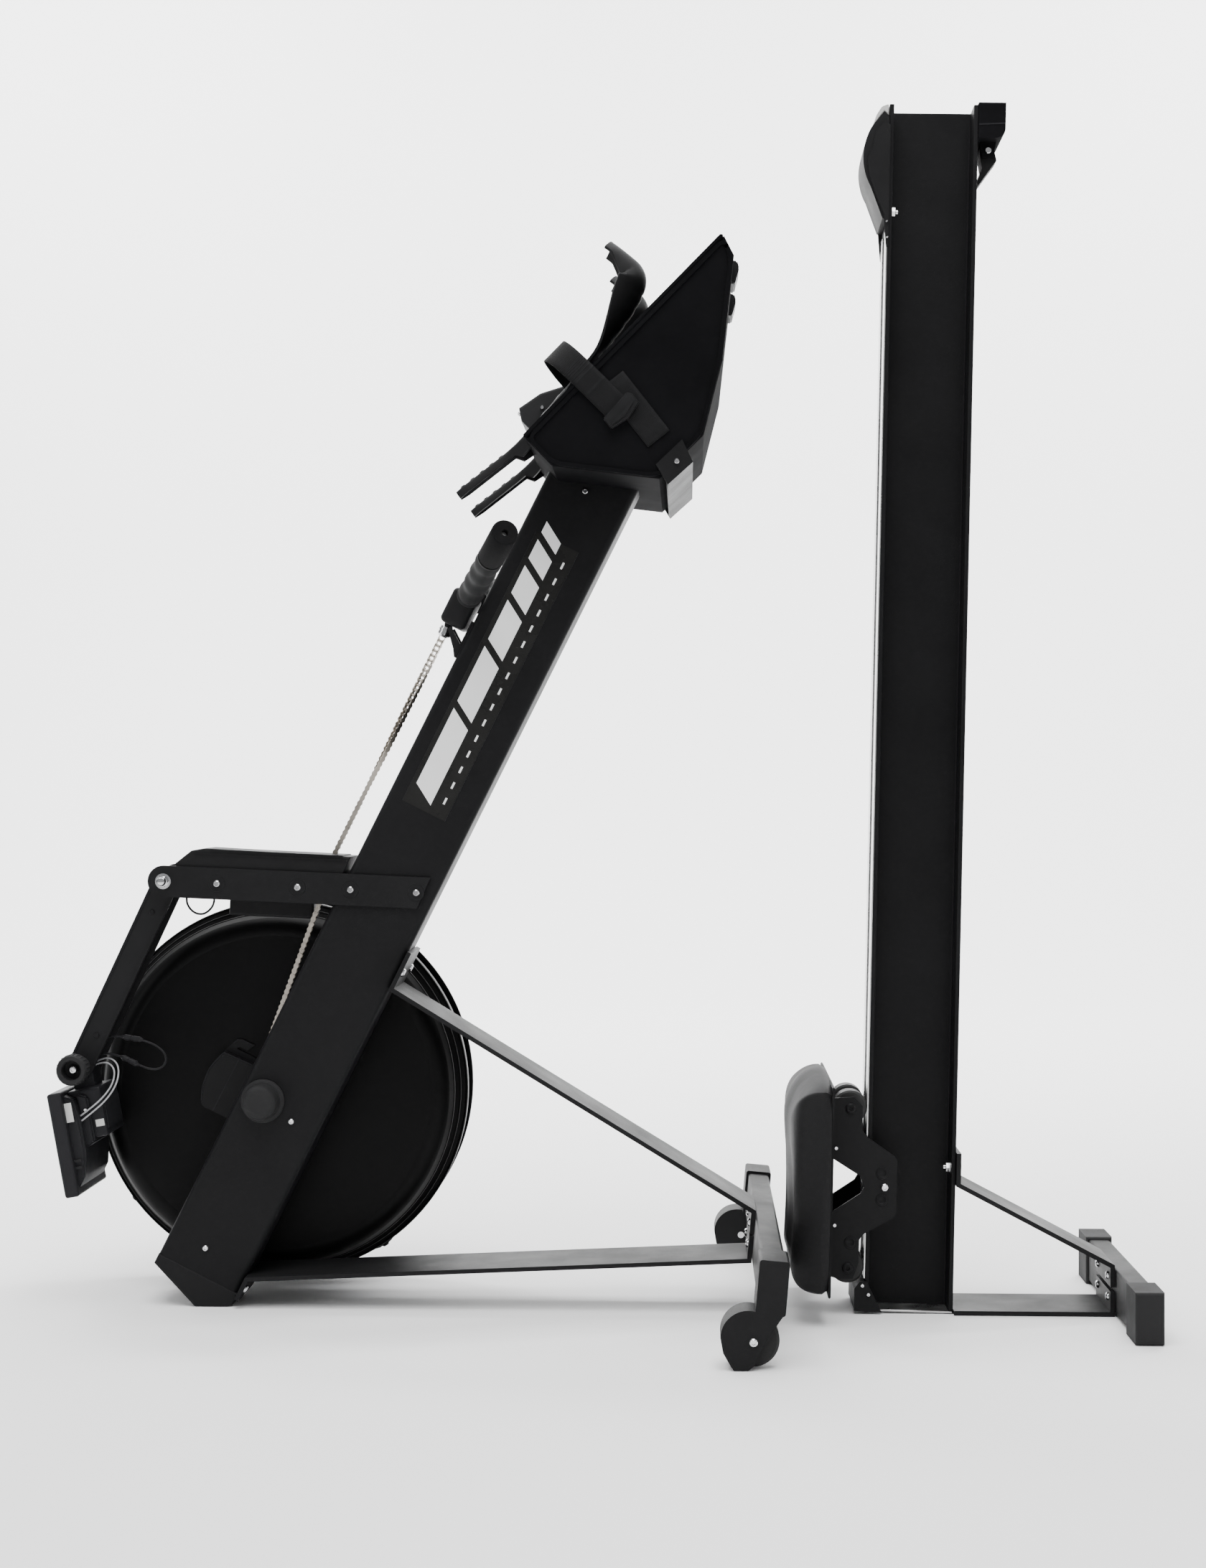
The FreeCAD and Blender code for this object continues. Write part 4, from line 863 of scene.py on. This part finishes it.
for side in (-1, 1):
    add_turned(pivots, [(0, -20.9), (4, -20.9), (4, 18.9), (0, 18.9)],
               facing(177, side * 284, 29, (0, side, 0)), 24)
finish_mesh("pivot_pins", pivots, WORLD, "front_half", "bolt_chrome")
washers = bmesh.new()
for x in CROSSBAR_BOLTS:
    add_turned(washers, [(0, -37), (9.4, -37), (9.2, -37.5), (0, -37.6)],
               BAR @ facing(x, 0, 0, (0, 1, 0)), 32)
finish_mesh("crossbar_dimples", washers, WORLD, "front_half", "plate_black")
ribs = bmesh.new()
for z, low, high in ((38.2, 52, 205), (33.4, 34, 210)):
    add_prism(ribs, [(low, z - 1.2), (high, z - 1.8), (high, z + 0.4), (low, z + 1.0)],
              -34.4, 34.4, BAR, 0.6, 2)
finish_mesh("cover_ribs", ribs, WORLD, "front_half", "plastic_black")

# ---- graphic band on the beam: plain bars and dashes, no lettering ---------------------

BEAM_FACE = -33.0
BAR_LAYER = (BEAM_FACE - 0.55, BEAM_FACE - 0.3)
EDGE_LAYER = (BEAM_FACE - 0.5, BEAM_FACE - 0.2)
prism("graphic_field", [(603, -18), (946, -18), (946, -73), (603, -73)], BEAM_FACE - 0.35, BEAM_FACE + 0.1,
      FRONT, "front_half", "plastic_black", 0, 1, 0, GRAPHIC)
marks = bmesh.new()
along, slant = 612, 16
for length in (96, 70, 50, 35, 24, 14):
    add_prism(marks, [(along, -50), (along + length, -50), (along + length + slant, -24),
                      (along + slant, -24)], *BAR_LAYER)
    along += length + 9
for step in range(16):
    start = 620 + step * 20
    add_prism(marks, [(start, -64), (start + 8, -64), (start + 8, -61.6), (start, -61.6)], *BAR_LAYER)
finish_mesh("graphic_bars", marks, FRONT, "front_half", "plastic_black", 0,
             PAINT_WHITE)
edges = bmesh.new()
for z in (-18.4, -72.9):
    add_prism(edges, [(603, z), (946, z), (946, z + 0.5), (603, z + 0.5)], *EDGE_LAYER)
finish_mesh("graphic_edges", edges, FRONT, "front_half", "monitor_case", 0)

# ---- monitor and arm -------------------------------------------------------------------

grip = turned("knob_grip", [(0, -50.6), (5, -50.6), (5.6, -50), (5.6, -47.5), (10.6, -47.5), (11.4, -60),
                            (12.6, -61), (15.8, -61), (17.2, -59.5), (17.6, -55), (17.2, -43),
                            (15.5, -40.5), (12.4, -38.5), (12.2, -21), (0, -21)],
              MONITOR, "knob", "rubber_black", 60)
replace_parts(grip, "tilt_knob")
knob_bolt = bmesh.new()
add_bolt(knob_bolt, MONITOR @ facing(0, -50.4, 0, NEAR), 5.0, 3.0)
add_turned(knob_bolt, [(0, -21), (4, -21), (4, 22), (0, 22)], MONITOR, 24)
finish_mesh("knob_bolt", knob_bolt, WORLD, "knob", "bolt_chrome")
knurl = bmesh.new()
for step in range(24):
    turn = Matrix.Rotation(2 * math.pi * step / 24, 4, "Y")
    add_prism(knurl, [(16.6, -0.9), (18.1, -0.5), (18.1, 0.5), (16.6, 0.9)], -57.5, -44,
              MONITOR @ turn, 0.3, 1)
finish_mesh("knob_ribs", knurl, WORLD, "knob", "rubber_black")

arm_bits = bmesh.new()
for along in (52, 92, 132, 172):
    add_prism(arm_bits, [(along, -12), (along + 2.2, -12), (along + 2.2, 6), (along, 6)],
              -17, 17, ARM, 0.4, 1)
for z in (13.2, -13.2):
    for side in (-1, 1):
        add_prism(arm_bits, [(10, z - 1.6), (228, z - 1.6), (228, z + 1.6), (10, z + 1.6)],
                  *span(side, 19, 21.2), ARM, 0.6, 2)
finish_mesh("arm_ribs", arm_bits, WORLD, "arm", "plastic_black")
arm_pins = bmesh.new()
for along, z in ((40, 0), (196, 2)):
    add_turned(arm_pins, [(0, -21.6), (2.6, -21.6), (3, -21), (3, 21), (2.6, 21.6), (0, 21.6)],
               ARM @ facing(along, 0, z, (0, 1, 0)), 20)
finish_mesh("arm_pins", arm_pins, WORLD, "arm", "plate_black")
barrel = bmesh.new()
for step in range(5):
    y = -15 + step * 7.2
    add_turned(barrel, [(12.1, y - 1.2), (13.2, y - 0.8), (13.2, y + 0.8), (12.1, y + 1.2), (12.1, y - 1.2)],
               MONITOR, 40)
finish_mesh("clamp_rings", barrel, WORLD, "monitor", "monitor_case")

case = bmesh.new()
add_prism(case, [(-20, -138), (-20, -26), (-6, -33), (-2, -60), (-2, -96), (-8, -122)], -54, 54, MONITOR,
          2.5, 3)
add_prism(case, [(10, -80), (24, -76), (24, -40), (18, -28), (10, -28)], -34, 34, MONITOR, 2, 2)
add_prism(case, [(-4, -92), (8, -86), (8, -34), (-4, -28)], -44, 44, MONITOR, 2, 2)
finish_mesh("monitor_steps", case, WORLD, "monitor", "monitor_case")
face = bmesh.new()
add_prism(face, [(-33.1, -116), (-32.3, -116), (-32.3, -34), (-33.1, -34)], -50, 50, MONITOR)
finish_mesh("monitor_screen", face, WORLD, "monitor", "monitor_case", 0, SCREEN)
plates = bmesh.new()
add_prism(plates, [(-24, -58), (-8, -58), (-8, -36), (-24, -36)], -56.4, -55.8, MONITOR, 0.1, 1)
add_prism(plates, [(11, -70), (21, -70), (21, -62), (11, -62)], -38.4, -37.8, MONITOR, 0.1, 1)
finish_mesh("blank_plates", plates, WORLD, "monitor", "monitor_case", 0, PAPER)
slots = bmesh.new()
for z in (-104, -112):
    add_prism(slots, [(-18, z), (-8, z), (-8, z + 3), (-18, z + 3)], -56.5, -55.8, MONITOR, 0.2, 1)
finish_mesh("monitor_slots", slots, WORLD, "monitor", "rubber_black", 0)
bolts("monitor_screw", "monitor", "bolt_chrome", [(MONITOR, 4, -44, -48, NEAR, "button", 2.2)])

# ---- rail half -------------------------------------------------------------------------

rail_spots = []
for y in (-22, 22):
    rail_spots.append((REAR, 5, y, 1249, (1, 0, 0), "nut", 5.4))
    rail_spots.append((REAR, 95, y, 163, (-1, 0, 0), "nut", 5.4))
    rail_spots.append((REAR, 105.1, y, 163, (1, 0, 0), "button", 4.8))
for y in (-32, 32):
    for z in (20, 44):
        rail_spots.append((WORLD, 584.8, y, z, (-1, 0, 0), "button", 4.6))
for side in (-1, 1):
    for x, z in ((4, 20), (-3, 30)):
        rail_spots.append((REAR, x, side * 44, z, (0, side, 0), "button", 2.6))
    for x, z in ((0, 1216), (-1, 1234)):
        rail_spots.append((REAR, x, side * 41.2, z, (0, side, 0), "button", 1.4))
bolts("rail_heads", "rail_half", "bolt_chrome", rail_spots, ("rail_bolts",))
turned("latch_pin", [(0, -24), (3, -24), (3.6, -23.4), (3.6, 23.4), (3, 24), (0, 24)],
       REAR @ facing(113.5, 0, 1321, (0, 1, 0)), "latch", "bolt_chrome", 24)
trim = bmesh.new()
for side in (-1, 1):
    add_prism(trim, [(-1.5, 1206), (1.5, 1206), (1.5, 1344), (-5, 1350), (-16, 1336), (-18.5, 1320),
                     (-25, 1306), (-23, 1288), (-14, 1262), (-5, 1242)], *span(side, 39, 41.2), REAR, 0.8, 2)
finish_mesh("front_cover_cheeks", trim, WORLD, "rail_half", "plastic_black")
prism("front_cover_cap", [(-1, 1369), (-9, 1366), (-15, 1356), (-19.5, 1342), (-6, 1361), (-1, 1356)],
      -36, 36, REAR, "rail_half", "plastic_black", 0.8, 2, 40, PAPER)
prism("rail_bottom_edge", [(1, 0.2), (99, 0.2), (99, 2.4), (1, 2.4)], -38.4, 38.4, REAR, "rail_half",
      "steel_bright", 0.3, 1)
groove = bmesh.new()
for side in (-1, 1):
    add_prism(groove, [(101, 1345.5), (130.6, 1347), (130.6, 1348.4), (101, 1346.9)],
              *span(side, 37.6, 38.4), REAR)
finish_mesh("hook_groove", groove, WORLD, "rail_half", "monitor_case", 0)

# ---- light and floor -------------------------------------------------------------------

def lamp(name, spot, target, wide, watts, high=None):
    light = bpy.data.lights.new(name, "AREA")
    light.shape = "RECTANGLE"
    light.size = wide
    light.size_y = high or wide
    light.energy = watts
    holder = bpy.data.objects.new(name, light)
    bpy.context.scene.collection.objects.link(holder)
    holder.location = spot
    holder.rotation_euler = (Vector(target) - Vector(spot)).to_track_quat("-Z", "Y").to_euler()


lamp("Over", (0.0, 0.1, 3.5), (0, 0.1, 0.4), 2.8, 150)
lamp("WallLeft", (-2.2, 2.3, 3.6), (-1.2, 5.4, 1.0), 2.4, 330)
lamp("WallRight", (2.2, 2.3, 3.6), (1.2, 5.4, 1.0), 2.4, 330)
lamp("FloorFront", (0.0, -2.0, 3.4), (0.0, -1.6, 0.0), 2.2, 95)
lamp("Left", (-2.9, -1.9, 1.7), (-0.1, 0, 0.7), 0.8, 26, 2.2)
lamp("Right", (3.0, -1.2, 1.5), (0.1, 0, 0.7), 0.6, 16, 2.0)

world = bpy.data.worlds.new("World")
bpy.context.scene.world = world
world.use_nodes = True
world.node_tree.nodes["Background"].inputs["Color"].default_value = (0.94, 0.95, 0.96, 1)
world.node_tree.nodes["Background"].inputs["Strength"].default_value = 0.42

floor_mesh = bmesh.new()
floor_end, bend = 3.2, 1.6
curve_line = [(-8.0, 0.0), (floor_end, 0.0)]
curve_line += [(floor_end + bend * math.sin(math.radians(a)), bend - bend * math.cos(math.radians(a)))
               for a in range(6, 91, 6)]
curve_line.append((floor_end + bend, 8.0))
previous = None
for y, z in curve_line:
    row = [floor_mesh.verts.new((x, y, z)) for x in (-12.0, 12.0)]
    if previous:
        floor_mesh.faces.new((previous[0], previous[1], row[1], row[0]))
    previous = row
backdrop = bpy.data.objects.new("Backdrop", closed(floor_mesh, "Backdrop"))
bpy.context.scene.collection.objects.link(backdrop)
backdrop.location.z = -0.0005
backdrop.data.materials.append(surface("backdrop_pale", (0.93, 0.93, 0.93), 0.8, grain=40, depth=0.02,
                                       smudge=0.6, spread=0.04, lift=0.03))
for face_of in backdrop.data.polygons:
    face_of.use_smooth = True
